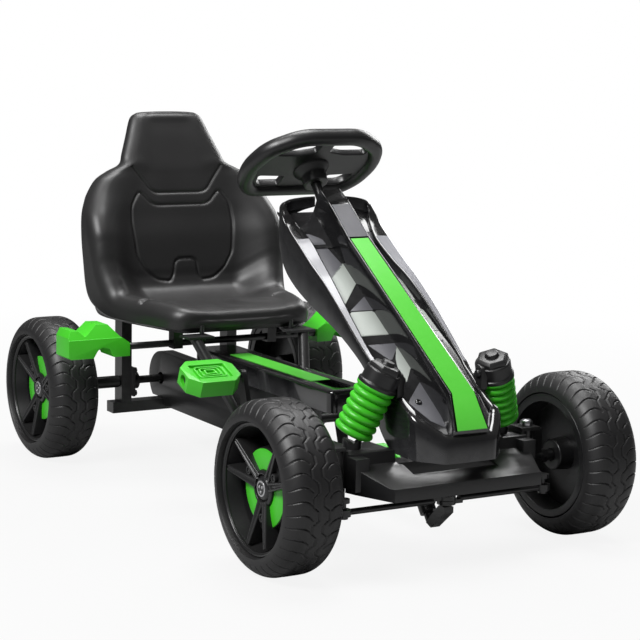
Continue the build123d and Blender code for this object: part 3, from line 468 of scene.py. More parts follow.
# ---- building pieces --------------------------------------------------------
class Shape:
    """Surfaces of one piece, in millimetres, gathered and then made into an object."""

    def __init__(self, name: str) -> None:
        """Starts an empty piece.

        Args:
            name: Piece's name.
        """
        self.name = name
        self.points: list[np.ndarray] = []
        self.faces: list[tuple[int, ...]] = []
        self.total = 0

    def add(self, points: np.ndarray, faces: Iterable[Sequence[int]]) -> None:
        """Adds points and the faces between them.

        Args:
            points: Points, one row each.
            faces: Numbers of each face's points.
        """
        self.faces.extend(tuple(i + self.total for i in face) for face in faces)
        self.points.append(np.asarray(points, float))
        self.total += len(points)

    def grid(self, points: np.ndarray, loop_rows: bool = False, loop_columns: bool = False,
             caps: bool = False) -> None:
        """Adds a surface from rows of points.

        Args:
            points: Rows by columns by three.
            loop_rows: Whether the last row joins the first.
            loop_columns: Whether each row is a closed ring.
            caps: Whether the first and last rings are filled.
        """
        rows, columns = points.shape[:2]
        row = np.arange(rows if loop_rows else rows - 1)
        column = np.arange(columns if loop_columns else columns - 1)
        a = (row[:, None] * columns + column[None, :]).ravel()
        b = (row[:, None] * columns + (column[None, :] + 1) % columns).ravel()
        c = (((row[:, None] + 1) % rows) * columns + (column[None, :] + 1) % columns).ravel()
        d = (((row[:, None] + 1) % rows) * columns + column[None, :]).ravel()
        faces = list(zip(a.tolist(), b.tolist(), c.tolist(), d.tolist()))
        if caps:
            faces.append(tuple(range(columns))[::-1])
            faces.append(tuple(range((rows - 1) * columns, rows * columns)))
        self.add(points.reshape(-1, 3), faces)

    def turned(self, profile: np.ndarray, centre: Triple, along: Triple = (1.0, 0.0, 0.0), sides: int = 96,
               closed: bool = True) -> None:
        """Adds a turned form.

        Args:
            profile: Distances along the axis and radii.
            centre: Point that the profile's zero stands on.
            along: Axis direction.
            sides: Facets round the axis.
            closed: Whether the profile is a closed loop.
        """
        axis = Vector(along).normalized()
        across = axis.orthogonal().normalized()
        third = axis.cross(across)
        angle = np.linspace(0, 2 * math.pi, sides, endpoint=False)
        ring = np.outer(np.cos(angle), across) + np.outer(np.sin(angle), third)
        points = (np.asarray(centre)[None, None, :] + np.asarray(profile)[None, :, 0, None] * np.asarray(axis)
                  + ring[:, None, :] * np.asarray(profile)[None, :, 1, None])
        self.grid(points, loop_rows=True, loop_columns=closed)

    def prism(self, outline: Sequence, axis: Axis, low: float, high: float) -> None:
        """Adds an outline drawn out between two planes.

        Args:
            outline: Points in the two other axes, in X, Y, Z order.
            axis: Direction of the draw.
            low: First plane.
            high: Second plane.
        """
        flat = np.asarray(outline, float)
        rings = np.stack([np.insert(flat, axis.value, value, axis=1) for value in (low, high)])
        self.grid(rings, loop_columns=True, caps=True)

    def made(self, kart: "Kart", look: Look, body: str, stands_for: Sequence[str] = (),
             move: Optional[Matrix] = None, **edge: float) -> bpy.types.Object:
        """Turns the surfaces into a finished object.

        Args:
            kart: Kart that the piece belongs to.
            look: Piece's finish.
            body: Body that the piece rides on.
            stands_for: CAD nodes that the piece replaces.
            move: Placement, in millimetres.
            edge: Rounding, as in Kart.finish_piece.

        Returns:
            The object.
        """
        points = np.vstack(self.points)
        if move is not None:
            turn = np.asarray(move)
            points = points @ turn[:3, :3].T + turn[:3, 3]
        mesh = bpy.data.meshes.new(self.name)
        mesh.from_pydata((points * MM).tolist(), [], self.faces)
        work = bmesh.new()
        work.from_mesh(mesh)
        bmesh.ops.remove_doubles(work, verts=work.verts, dist=2e-6)
        bmesh.ops.dissolve_degenerate(work, edges=work.edges, dist=1e-7)
        bmesh.ops.recalc_face_normals(work, faces=work.faces)
        work.to_mesh(mesh)
        work.free()
        return kart.finish_piece(self.name, mesh, look, body, stands_for, **edge)


class Kart:
    """The whole kart: its palette, and how a mesh becomes a piece of it."""

    def __init__(self, palette: Palette) -> None:
        """Keeps the palette."""
        self.palette = palette

    def finish_piece(self, name: str, mesh: bpy.types.Mesh, look: Look, body: str, stands_for: Sequence[str] = (),
                     bevel: float = 0.0, segments: int = 2, sharp: float = 40.0) -> bpy.types.Object:
        """Rounds, dresses and hangs a mesh on its body.

        Args:
            name: Piece's name.
            mesh: Mesh in metres.
            look: Piece's finish.
            body: Body that it rides on.
            stands_for: CAD nodes that it replaces.
            bevel: Edge rounding in millimetres.
            segments: Pieces in each rounded edge.
            sharp: Edges with a larger angle stay sharp.

        Returns:
            The object.
        """
        piece = bpy.data.objects.new(name, mesh)
        bpy.context.scene.collection.objects.link(piece)
        if bevel:
            rounding = piece.modifiers.new("rounding", "BEVEL")
            rounding.width = bevel * MM
            rounding.segments = segments
            rounding.limit_method = "ANGLE"
            rounding.angle_limit = math.radians(25)
            shown = piece.evaluated_get(bpy.context.evaluated_depsgraph_get())
            piece.data = bpy.data.meshes.new_from_object(shown)
            piece.modifiers.clear()
        piece.data.shade_smooth()
        piece.data.set_sharp_from_angle(angle=math.radians(sharp))
        self.palette.dress(piece, look)
        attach(piece, body)
        if stands_for:
            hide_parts(*stands_for)
        LOG.info("%s: %d faces on %s", name, len(piece.data.polygons), body)
        return piece

    def softened(self, node: str, look: Look, body: str, bevel: float, segments: int = 3,
                 **edge: float) -> bpy.types.Object:
        """Copy of a CAD node with its hard edges rounded.

        Args:
            node: CAD node's name.
            look: Piece's finish.
            body: Body that it rides on.
            bevel: Edge rounding in millimetres.
            segments: Pieces in each rounded edge.
            edge: Rounding, as in Kart.finish_piece.

        Returns:
            The object that replaces the node.
        """
        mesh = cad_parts[node].data.copy()
        work = bmesh.new()
        work.from_mesh(mesh)
        bmesh.ops.remove_doubles(work, verts=work.verts, dist=1e-5)
        bmesh.ops.dissolve_limit(work, angle_limit=math.radians(1.5), verts=work.verts, edges=work.edges)
        work.to_mesh(mesh)
        work.free()
        return self.finish_piece(f"{node}_moulding", mesh, look, body, (node,), bevel, segments, **edge)


@dataclass
class Assembly:
    """One sub-assembly of a kart."""

    kart: Kart


# ---- wheels -----------------------------------------------------------------
@dataclass
class Wheel(Assembly):
    """Foam tyre on a moulded rim with three pairs of double-ridged spokes."""

    place: str
    side: Side
    centre: Triple
    body: str
    radius: float = 127.5
    width: float = 92.0
    shoulder: float = 28.0
    lip_radius: float = 96.0
    bead_radius: float = 90.0
    bore_radius: float = 84.0
    hub_radius: float = 24.0
    disc_radius: float = 56.0
    pairs: int = 3
    spread: float = math.radians(17)
    spoke_foot: float = 25.0
    spoke_rise: float = 11.0
    boss_reach: float = 42.0
    zigzags: int = 20
    zigzag_place: float = 8.5
    zigzag_swing: float = 4.6
    groove_depth: float = 2.0
    groove_half: float = 0.85
    steps_round: int = 880
    steps_across: int = 83
    turn: float = 0.0

    def _out(self, axial: np.ndarray, radius: np.ndarray, angle: np.ndarray) -> np.ndarray:
        """Points from wheel measures.

        Args:
            axial: Distances outwards from the tyre's middle.
            radius: Distances from the axle.
            angle: Angles round the axle.

        Returns:
            Points, three in the last axis.
        """
        x = self.centre[0] + self.side.value * axial
        return np.stack(np.broadcast_arrays(x, self.centre[1] + radius * np.sin(angle),
                                            self.centre[2] + radius * np.cos(angle)), axis=-1)

    def _groove(self, axial: np.ndarray, angle: np.ndarray) -> np.ndarray:
        """Depth of the tread's cut lines.

        Args:
            axial: Distances outwards from the tyre's middle.
            angle: Angles round the axle.

        Returns:
            Cut depth at each point.
        """
        phase = (angle * self.zigzags / (2 * math.pi)) % 1.0
        swing = np.interp(phase, [0, 0.30, 0.50, 0.80, 1.0], [1, 1, -1, -1, 1])
        best = np.full(np.broadcast(axial, angle).shape, 99.0)
        for middle in (-self.zigzag_place, self.zigzag_place):
            best = np.minimum(best, np.abs(axial - middle - self.zigzag_swing * swing) * 0.80)
        share = np.clip((np.abs(axial) - 13.0) / 30.0, 0.0, 1.0)
        bow = 7.0 * np.sin(math.pi * share**0.8) + 4.0 * share
        count = 2 * self.zigzags
        pitch = 2 * math.pi * self.radius / count
        along = (angle * self.radius - bow + np.where(axial > 0, 0.0, pitch / 2)) % pitch
        across = np.minimum(along, pitch - along)
        ends = np.maximum(14.0 - np.abs(axial), 0.0) * 1.2 + np.maximum(np.abs(axial) - 43.6, 0.0) * 2.5
        best = np.minimum(best, np.hypot(across * 0.9, ends))
        return self.groove_depth * np.exp(-((best / self.groove_half) ** 4))

    def tyre(self) -> None:
        """Tyre with its tread lines cut in."""
        half, flat = self.width / 2, self.width / 2 - self.shoulder
        axial = np.sin(np.linspace(-1.36, 1.36, self.steps_across)) / math.sin(1.36) * half
        over = np.clip(np.abs(axial) - flat, 0.0, self.shoulder)
        crown = self.radius - 1.4 * (np.abs(axial) / half) ** 2
        radius = crown - self.shoulder + np.sqrt(self.shoulder**2 - over**2)
        angle = np.linspace(0, 2 * math.pi, self.steps_round, endpoint=False)[:, None]
        cut = self._groove(axial[None, :], angle)
        tread = self._out(axial[None, :], radius[None, :] - cut, angle)
        lip, bead = self.lip_radius + 0.2, self.bead_radius + 0.2
        wall = eased([(half - 0.1, self.radius - self.shoulder - 1.0), (half - 2.0, 97.6), (half - 5.5, 96.6),
                      (half - 8, lip), (half - 10, lip), (half - 10, bead), (0, bead)], 2.0, 3, closed=False)
        wall = np.vstack([wall, wall[::-1] * (-1, 1)])
        sides = self._out(wall[None, :, 0], wall[None, :, 1], angle)
        piece = Shape(f"tyre_tread_{self.place}")
        piece.grid(np.concatenate([tread, sides], axis=1), loop_rows=True, loop_columns=True)
        piece.made(self.kart, Look.TYRE, self.body, (f"tyre_{self.place}",), sharp=60)

    def _turned(self, shape: Shape, profile: Sequence, ease: float, sides: int = 120) -> None:
        """Adds a closed turned form on the axle.

        Args:
            shape: Shape that it is added to.
            profile: Axial distances and radii.
            ease: Corner rounding.
            sides: Facets round the axle.
        """
        shape.turned(eased(profile, ease, 3), self.centre, (self.side.value, 0, 0), sides)

    def rim(self) -> None:
        """Barrel, dish, hub and spokes."""
        half = self.width / 2
        piece = Shape(f"rim_moulding_{self.place}")
        bore, lip, bead = self.bore_radius, self.lip_radius, self.bead_radius
        self._turned(piece, [(0.6 - half, bore), (-8, bore - 1), (12, bore), (half - 10, bore + 7),
                             (half - 8.2, bore + 8), (half - 7.6, lip - 1), (half - 8.4, lip), (half - 9.9, lip),
                             (half - 9.9, bead), (9.9 - half, bead), (9.9 - half, lip), (0.6 - half, lip)], 1.2)
        self._turned(piece, [(-8, 20), (18.5, 20), (18.5, 57.5), (16, 59), (-4, 62), (-4, bore + 1),
                             (-8, bore + 1)], 1.6)
        self._turned(piece, [(-34, 10.2), (13.8, 10.2), (13.8, 20.3), (24, 20.6), (24.6, 22), (23.2, 26.5),
                             (16, 27), (-32, self.hub_radius), (-34, 22)], 1.2, 72)
        for index in range(self.pairs):
            middle = 2 * math.pi * index / self.pairs + self.turn
            for lean in (-self.spread, self.spread):
                self._spoke(piece, middle + lean)
            self._web(piece, middle)
            self._boss(piece, middle)
        piece.made(self.kart, Look.RIM, self.body, (f"rim_{self.place}",), sharp=38)

    def _spoke(self, piece: Shape, angle: float) -> None:
        """One spoke: it rises from the hub to the barrel, with a groove between its two ridges.

        Args:
            piece: Shape that it is added to.
            angle: Spoke's place round the axle.
        """
        rings = []
        for share in np.linspace(0.0, 1.0, 15):
            reach = 19.0 + (self.bore_radius - 18.0) * share
            wide = 7.2 - 3.0 * share
            top = self.spoke_foot + self.spoke_rise * share
            dip = 3.4 * (1.0 - 0.6 * share)
            loop = [(-wide - 1.5, -6), (-wide, top - 1.2), (-wide + 0.8, top), (-0.44 * wide, top),
                    (-0.26 * wide, top - dip), (0.26 * wide, top - dip), (0.44 * wide, top), (wide - 0.8, top),
                    (wide, top - 1.2), (wide + 1.5, -6)]
            loop = eased(loop, 0.8, 2)
            theta = angle + np.arctan2(loop[:, 0], reach)
            rings.append(self._out(loop[:, 1], np.hypot(reach, loop[:, 0]), theta))
        piece.grid(np.stack(rings), loop_columns=True, caps=True)

    def _web(self, piece: Shape, angle: float) -> None:
        """Wall between the two spokes of a pair.

        Args:
            piece: Shape that it is added to.
            angle: Pair's middle round the axle.
        """
        rings = []
        for reach, low, high in ((22.0, 14.0, 22.5), (34.0, 14.0, 22.0), (58.0, 14.0, 21.0), (61.5, 12.0, 18.5)):
            spread = np.linspace(-self.spread, self.spread, 9)
            rings.append(np.concatenate([self._out(high, reach, angle + spread),
                                         self._out(low, reach, angle + spread[::-1])]))
        piece.grid(np.stack(rings), loop_columns=True, caps=True)

    def _boss(self, piece: Shape, angle: float) -> None:
        """Screw boss between the spokes of a pair.

        Args:
            piece: Shape that it is added to.
            angle: Boss's place round the axle.
        """
        middle = (self.centre[0], self.centre[1] + self.boss_reach * math.sin(angle),
                  self.centre[2] + self.boss_reach * math.cos(angle))
        for profile in ([(18, 0), (18, 7.4), (27, 6.4), (27, 3.8), (24, 3.4), (24, 0)],
                        [(23, 0), (23, 2.8), (26, 2.6), (26, 0)]):
            line = eased(profile, 0.9, 2, closed=False)
            piece.turned(line, middle, (self.side.value, 0, 0), 28, closed=False)

    def disc(self) -> None:
        """Green disc behind the spokes."""
        piece = Shape(f"green_disc_{self.place}")
        for index in range(self.pairs):
            middle = 2 * math.pi * (index + 0.5) / self.pairs + self.turn
            reach = math.pi / self.pairs - self.spread - 0.10
            spread = np.linspace(-reach, reach, 31)
            profile = eased([(18.2, self.hub_radius + 3), (20.0, self.hub_radius + 3), (20.6, 44),
                             (19.8, self.disc_radius + 1), (18.2, self.disc_radius + 1)], 0.8, 3)
            slack = np.clip(1.10 - 3.4 / profile[:, 1], 0.6, 1.0)
            rings = self._out(profile[None, :, 0], profile[None, :, 1], middle + spread[:, None] * slack[None, :])
            piece.grid(rings, loop_columns=True, caps=True)
        piece.made(self.kart, Look.GREEN, self.body, (f"wheel_disc_{self.place}",))

    def cap(self) -> None:
        """Hub cap with a plain ring and centre dot."""
        piece = Shape(f"hub_cap_dome_{self.place}")
        line = eased([(14.2, 12.5), (14.2, 20), (20, 20), (24.6, 15.5), (25.4, 13), (26.4, 7), (27, 0)], 1.5, 4,
                     closed=False)
        piece.turned(line, self.centre, (self.side.value, 0, 0), 72, closed=False)
        inside = np.array([(24.5, 0), (24.5, 12.5), (14.2, 12.5)])
        piece.turned(inside, self.centre, (self.side.value, 0, 0), 72, closed=False)
        piece.made(self.kart, Look.CAP, self.body, (f"hub_cap_{self.place}",), sharp=50)
        badge = Shape(f"hub_badge_{self.place}")
        self._turned(badge, [(25.2, 9.4), (26.7, 9.2), (26.3, 11.6), (25.0, 11.8)], 0.3, 60)
        for index in range(3):
            angle = 2 * math.pi * index / 3 + self.turn
            spot = (self.centre[0], self.centre[1] + 4.6 * math.sin(angle), self.centre[2] + 4.6 * math.cos(angle))
            line = eased([(25.6, 0), (25.6, 2.4), (27.0, 2.1), (27.0, 0)], 0.4, 2, False)
            badge.turned(line, spot, (self.side.value, 0, 0), 24, closed=False)
        badge.made(self.kart, Look.EMBLEM, self.body, (), sharp=50)

    def build(self) -> None:
        """Builds the whole wheel."""
        self.tyre()
        self.rim()
        self.disc()
        self.cap()


# ---- seat ---------------------------------------------------------------------
@dataclass
class Seat(Assembly):
    """Blow-moulded bucket seat: pan, rolled bolsters, back with two grooved panels and a headrest."""

    front: float = 150.0
    base: float = 252.0
    rows: int = 250
    groove: float = 3.2
    keys: list = field(default_factory=lambda: [
        # centre (y, z), crest (y, z), half width, underside or back (y, z)
        (0, 24, 2, 25, 104, 5, 9), (3, 33, 5, 35, 120, 14, 2), (12, 39, 14, 42, 132, 24, 0),
        (32, 41, 34, 47, 142, 42, 0), (80, 36, 84, 50, 156, 90, 0), (150, 33, 146, 50, 172, 150, 0),
        (192, 35, 176, 54, 182, 205, 0), (226, 48, 194, 80, 189, 255, 1), (238, 68, 204, 104, 193, 276, 8),
        (240, 88, 208, 124, 195, 286, 30), (243, 112, 212, 142, 196, 290, 74),
        (248, 146, 217, 160, 197, 292, 140), (258, 180, 230, 184, 193, 296, 184),
        (264, 204, 245, 206, 184, 299, 208), (269, 222, 258, 226, 174, 301, 226),
        (274, 240, 270, 248, 158, 303, 246), (278, 254, 278, 262, 134, 306, 260),
        (282, 268, 282, 276, 108, 309, 272), (290, 290, 290, 294, 99, 316, 292),
        (302, 322, 302, 324, 86, 328, 322), (312, 346, 312, 348, 76, 337, 347),
        (316, 358, 317, 358, 70, 338, 358), (321, 364, 321, 363, 62, 334, 364)])
    head_panel: list = field(default_factory=lambda: [
        (-104, 560), (-95, 527), (-54, 474), (54, 474), (95, 527), (104, 560)])
    back_panel: list = field(default_factory=lambda: [
        (-82, 478), (-100, 452), (-103, 420), (-97, 362), (-80, 334), (-58, 317), (-32, 314), (-25, 326),
        (-22, 348), (-14, 354), (14, 354), (22, 348), (25, 326), (32, 314), (58, 317), (80, 334), (97, 362),
        (103, 420), (100, 452), (82, 478), (60, 456), (48, 452), (-48, 452), (-60, 456)])

    def _surface(self) -> tuple[np.ndarray, np.ndarray]:
        """Rings of the closed seat body.

        Returns:
            Points by ring, and how far round the ring each column lies: 0 to 1 is the sitting side.
        """
        line = smooth_line(self.keys, self.rows)
        cy, cz, ey, ez, half, by, bz = (line[:, k][:, None] for k in range(7))
        sitting = np.linspace(0.0, 1.0, 104)[None, :]
        rise = smooth_step(0.55, 1.0, sitting)
        crest = half - np.minimum(25.0, 0.3 * half)
        turn = np.linspace(0.0, math.pi / 2, 16)[None, 1:]
        deep = np.minimum(30.0 / np.maximum(np.hypot(by - ey, bz - ez), 1.0), 0.6)
        roll = deep * (1.0 - np.cos(turn))
        down = np.linspace(0.0, 1.0, 28)[None, 1:]
        wall = deep + (1.0 - deep) * down
        tuck = smooth_step(0.45, 1.0, down)
        under = np.linspace(1.0, 0.0, 34)[None, 1:]
        xs = [crest * sitting, crest + (half - crest) * np.sin(turn), half * (1.0 - 0.13 * tuck) - 5 * tuck,
              (half * 0.87 - 5) * under]
        ys = [cy + (ey - cy) * rise, ey + (by - ey) * roll, ey + (by - ey) * wall, by + 0 * under]
        zs = [cz + (ez - cz) * rise, ez + (bz - ez) * roll, ez + (bz - ez) * wall, bz + 0 * under]
        whole = [np.concatenate([np.broadcast_to(part, (len(line), part.shape[1])) for part in parts], axis=1)
                 for parts in (xs, ys, zs)]
        right = np.stack(whole, axis=-1) + (0, self.front, self.base)
        for last, push in ((0, (0, -5, -3)), (-1, (0, 1, 4))):
            ring = right[last]
            middle = np.array([0.0, ring[:, 1].mean(), ring[:, 2].mean()])
            ends = [middle + (ring - middle) * size + np.asarray(push) * (1 - size**2) ** 0.5
                    for size in (0.93, 0.8, 0.6, 0.3, 0.05)]
            ends = np.stack(ends[::-1] if last == 0 else ends)
            right = np.concatenate([ends, right] if last == 0 else [right, ends])
        left = right[:, 1:-1][:, ::-1] * (-1, 1, 1)
        span = np.concatenate([sitting[0], np.full(right.shape[1] - sitting.shape[1], 2.0)])
        return np.concatenate([right, left], axis=1), np.concatenate([span, span[1:-1][::-1]])

    def _moulded(self, points: np.ndarray, span: np.ndarray) -> np.ndarray:
        """Cuts the panel grooves and raises the thigh swells.

        Args:
            points: Rings of points.
            span: Place of each column round the ring.

        Returns:
            Moved points.
        """
        out = points.copy()
        flat = points[:, :, [0, 2]].reshape(-1, 2)
        head = distance_to_line(flat, eased(self.head_panel, 14, 6, False), False)
        back = distance_to_line(flat, eased(self.back_panel, 9, 5), True)
        cut = np.exp(-((np.minimum(head, back) / 2.6) ** 2)).reshape(points.shape[:2])
        on_back = smooth_step(40.0, 62.0, points[:, :, 2] - self.base) * (span <= 1.0)[None, :]
        out[:, :, 1] += self.groove * cut * on_back
        for x, y, reach in ((-62, 96, 46), (62, 96, 46)):
            away = np.hypot((points[:, :, 0] - x) / 1.0, (points[:, :, 1] - self.front - y) / 1.9)
            swell = 5.0 * (1.0 - smooth_step(reach * 0.5, reach, away))
            low = (points[:, :, 2] - self.base < 60) * (span <= 1.0)[None, :]
            out[:, :, 2] += swell * low
        for x in (-132, 132):
            slot = np.hypot((points[:, :, 0] - x) / 24.0, (points[:, :, 1] - self.front - 112) / 8.0)
            out[:, :, 2] -= 8.0 * (1 - smooth_step(0.72, 1.0, slot)) * (points[:, :, 2] > self.base + 20)
        return out

    def build(self) -> None:
        """Builds the seat."""
        points, span = self._surface()
        piece = Shape("seat_bucket")
        piece.grid(self._moulded(points, span), loop_columns=True, caps=True)
        piece.made(self.kart, Look.SEAT, "chassis", ("seat",), sharp=75)


# ---- steering ---------------------------------------------------------------
@dataclass
class SteeringWheel(Assembly):
    """Flat-bottomed wheel with a fat rim, a slotted plate and a boss."""

    hub: Triple = (0.0, -54.2, 554.4)
    half: float = 126.0
    rim: float = 26.0

    @property
    def plane(self) -> Matrix:
        """Wheel's own plane: +y towards the driver, +z up the column."""
        x, y, z = self.hub
        return Matrix(((1, 0, 0, x), (0, 0.8, 0.6, y), (0, -0.6, 0.8, z), (0, 0, 0, 1)))

    def _outline(self) -> np.ndarray:
        """Outer edge of the rim.

        Returns:
            Points of the edge, in the wheel's own plane.
        """
        w = self.half
        right = [(0, -97), (0.46 * w, -97), (0.88 * w, -60), (w, -7), (0.93 * w, 43), (0.72 * w, 76), (0, 76)]
        corners = right + [(-x, y) for x, y in reversed(right[1:-1])]
        return eased(corners, 34, 8)

    def _inward(self, line: np.ndarray) -> np.ndarray:
        """Inward direction at each point of the outline.

        Args:
            line: Points of the outline.

        Returns:
            One direction for each point.
        """
        run = np.roll(line, -1, axis=0) - np.roll(line, 1, axis=0)
        side = np.stack([-run[:, 1], run[:, 0]], axis=1)
        return side / np.maximum(np.linalg.norm(side, axis=1), 1e-9)[:, None]

    def _rim(self) -> None:
        """Fat rim with a parting line round its edge."""
        line = self._outline()
        even = smooth_line(line, 260, closed=True)
        inward = self._inward(even)
        angle = np.linspace(0, 2 * math.pi, 36, endpoint=False)
        reach = np.sign(np.cos(angle)) * np.abs(np.cos(angle)) ** 0.8
        tall = np.sign(np.sin(angle)) * np.abs(np.sin(angle)) ** 0.85
        seam = 0.5 * np.exp(-((np.abs(np.sin(angle) - 0.45) / 0.12) ** 2))
        half = self.rim / 2
        depth = half - (half - seam) * reach
        flat = even[:, None, :] + inward[:, None, :] * depth[None, :, None]
        height = np.broadcast_to((half * tall)[None, :, None], flat.shape[:2] + (1,))
        piece = Shape("steering_rim")
        piece.grid(np.concatenate([flat, height], axis=2), loop_rows=True, loop_columns=True)
        piece.made(self.kart, Look.PLASTIC, "steering", ("steering_wheel",), sharp=60, move=self.plane)

    def _plate(self) -> None:
        """Slotted plate inside the rim."""
        line = self._outline()
        edge = line + self._inward(line) * (self.rim - 4)
        upper = [(12, -69), (56, -69), (84, -52), (80, -40), (41, -40), (12, -48)]
        lower = [(41, 21), (89, 18), (84, 40), (73, 48), (41, 48)]
        loops = [edge]
        for slot in (upper, lower):
            loops.append(eased(slot, 5, 3))
            loops.append(eased([(-x, y) for x, y in reversed(slot)], 5, 3))
        curve = bpy.data.curves.new("plate", "CURVE")
        curve.dimensions = "2D"
        curve.fill_mode = "BOTH"
        curve.extrude = 4.0 * MM
        curve.bevel_depth = 1.6 * MM
        curve.bevel_resolution = 2
        curve.offset = -1.6 * MM
        for loop in loops:
            spline = curve.splines.new("POLY")
            spline.points.add(len(loop) - 1)
            for point, (x, y) in zip(spline.points, loop):
                point.co = (x * MM, y * MM, 0.0, 1.0)
            spline.use_cyclic_u = True
        holder = bpy.data.objects.new("plate", curve)
        bpy.context.scene.collection.objects.link(holder)
        mesh = bpy.data.meshes.new_from_object(holder.evaluated_get(bpy.context.evaluated_depsgraph_get()))
        bpy.data.objects.remove(holder)
        move = self.plane.copy()
        move.translation = Vector(self.hub) * MM
        mesh.transform(move)
        self.kart.finish_piece("steering_plate", mesh, Look.PLASTIC, "steering")

    def _boss(self) -> None:
        """Turned boss under the plate."""
        piece = Shape("steering_boss")
        line = eased([(6, 0), (6, 33), (-8, 30), (-18, 21), (-35, 20), (-35, 8.2), (0, 8.2), (0, 0)], 2.5, 4, False)
        piece.turned(line, (0, 0, 0), (0, 0, 1), 72, closed=False)
        piece.made(self.kart, Look.PLASTIC, "steering", (), move=self.plane)

    def build(self) -> None:
        """Builds the wheel."""
        self._rim()
        self._plate()
        self._boss()


# ---- body panels --------------------------------------------------------------
@dataclass
class Hood(Assembly):
    """Nose cowl: two side rails joined round the nose, sunken panels and a raised spine with its strip."""

    spine: list = field(default_factory=lambda: [(-118, 522), (-150, 501), (-184, 474), (-211, 452), (-503, 258),
                                                 (-529, 207)])
    # x, y, top z, foot z and width on top, from the back of a rail round to the nose
    stations: list = field(default_factory=lambda: [
        (15, -93, 508, 492, 5), (40, -93, 507, 486, 6), (66, -95, 504, 474, 7), (84, -104, 498, 452, 10),
        (88, -118, 484, 420, 15), (88, -135, 466, 395, 22), (88, -165, 445, 374, 29), (88, -205, 418, 355, 26),
        (88, -245, 394, 340, 21), (88, -290, 362, 323, 17), (87, -335, 327, 300, 14),
        (85.5, -370, 300, 276, 12), (84, -392, 285, 246, 12), (83, -408, 274, 200, 14),
        (82, -440, 254, 168, 16), (80.5, -466, 239, 164, 17), (78, -490, 227, 162, 17),
        (69, -504, 219, 161, 17), (58, -517, 209, 161, 17), (45, -528, 201, 160, 17),
        (32, -530.5, 200, 160, 17), (16, -531, 200, 160, 17), (0, -531, 200, 160, 17)])
    # rows of each film: y, nearest x, farthest x
    films: dict = field(default_factory=lambda: {
        ("film_upper", Look.SLATE): [(-143, 52, 62), (-152, 33, 66), (-199, 22, 70), (-228, 63, 66)],
        ("film_band", Look.SILVER): [(-196, 20, 22), (-227, 20, 63), (-236, 20, 66), (-274, 62, 66)],
        ("film_wedge", Look.SLATE): [(-262, 20, 21), (-288, 20, 62)],
        ("film_mid", Look.SILVER): [(-290, 24, 60), (-294, 20, 68), (-335, 20, 70)],
        ("film_shade", Look.SLATE): [(-352, 20, 68), (-358, 20, 64), (-381, 44, 48)],
        ("film_low", Look.SILVER): [(-356, 20, 21), (-380, 20, 37), (-396, 20, 43), (-421, 43, 46)],
        ("film_nose", Look.SLATE): [(-423, 20, 21), (-456, 20, 63), (-488, 21, 45), (-501, 23, 26)]})

    def _rail_line(self) -> tuple[np.ndarray, np.ndarray]:
        """Line round the rails.

        Returns:
            Rows of the smoothed stations, and the inward direction at each.
        """
        half = np.asarray(self.stations, float)
        whole = np.vstack([half, (half * (-1, 1, 1, 1, 1))[:-1][::-1]])
        line = smooth_line(whole, 300)
        run = np.gradient(line[:, :2], axis=0)
        inward = np.stack([run[:, 1], -run[:, 0]], axis=1)
        return line, inward / np.linalg.norm(inward, axis=1)[:, None]

    def _rail(self) -> None:
        """Rails and the ring round the nose, as one moulding, with a pale grey painted reflection on each rail's
        top facet.
        """
        line, inward = self._rail_line()
        top, foot, wide = line[:, 2], line[:, 3], line[:, 4]
        low = np.maximum(top - 17, foot + 1)
        nose = smooth_step(-395.0, -440.0, line[:, 1])
        soft = 1.0 + 1.6 * nose
        section = [(0 * wide, foot), (0 * wide, top - 4.2 * soft), (0.5 * soft, top - 2.0 * soft),
                   (1.6 * soft, top - 0.6 * soft), (3.2 * soft, top), (wide - 2.6 * soft, top + 1.0),
                   (wide - 1.2 * soft, top + 0.5), (wide - 0.2, top - 1.2 * soft), (wide, top - 3.4 * soft),
                   (wide, low), (wide - 2.6, low), (wide - 2.6, top - 9.0), (2.8 + 0 * wide, top - 9.0),
                   (2.8 + 0 * wide, foot)]
        rings = [np.column_stack([line[:, :2] + inward * reach[:, None], np.maximum(height, foot)])
                 for reach, height in section]
        piece = Shape("hood_rails")
        piece.grid(np.stack(rings, axis=1), loop_columns=True, caps=True)
        piece.made(self.kart, Look.GLOSS, "chassis", ("hood",), sharp=48)
        # Pale grey strip on each rail's top facet: a painted reflection of the bright surround.
        for side in Side:
            rows = (line[:, 1] > -398) & (line[:, 1] < -158) & (line[:, 0] * side.value > 0)
            strip = []
            for reach, lift in ((3.6, -0.3), (3.6, 0.5), (None, 1.6), (None, 0.6)):
                out = wide[rows] - 3.4 if reach is None else np.full(rows.sum(), reach)
                strip.append(np.column_stack([line[rows, :2] + inward[rows] * out[:, None], top[rows] + lift]))
            film = Shape(f"rail_film_{side.word}")
            film.grid(np.stack(strip, axis=1), loop_columns=True, caps=True)
            film.made(self.kart, Look.PAINTED_RAIL_REFLECTION, "chassis", (), sharp=60)

    def _spine(self) -> None:
        """Raised spine with fine ridges along both edges, and its two cheeks."""
        piece = Shape("hood_spine")
        line = np.asarray(self.spine, float)
        half = np.interp(-line[:, 0], [118, 211, 503, 529], [19, 20, 23, 30])
        rings = []
        for (y, z), wide in zip(line, half):
            loop = [(-wide, -40), (-wide, 0.4), (-wide + 1.6, 0.8), (-wide + 2.6, -0.9), (wide - 2.6, -0.9),
                    (wide - 1.6, 0.8), (wide, 0.4), (wide, -40)]
            rings.append([(x, y - 0.55 * up, z + 0.83 * up) if up > -5 else (x, y + 20, z + up) for x, up in loop])
        piece.grid(np.asarray(rings, float), loop_columns=True, caps=True)
        piece.made(self.kart, Look.GLOSS, "chassis", (), bevel=0.5, segments=2)

    def _panel_line(self) -> np.ndarray:
        """Line that the sunken panels lie on, below the spine."""
        return np.asarray([(y + 20, z - 38) for y, z in self.spine[:-1]] + [(-505, 190)], float)

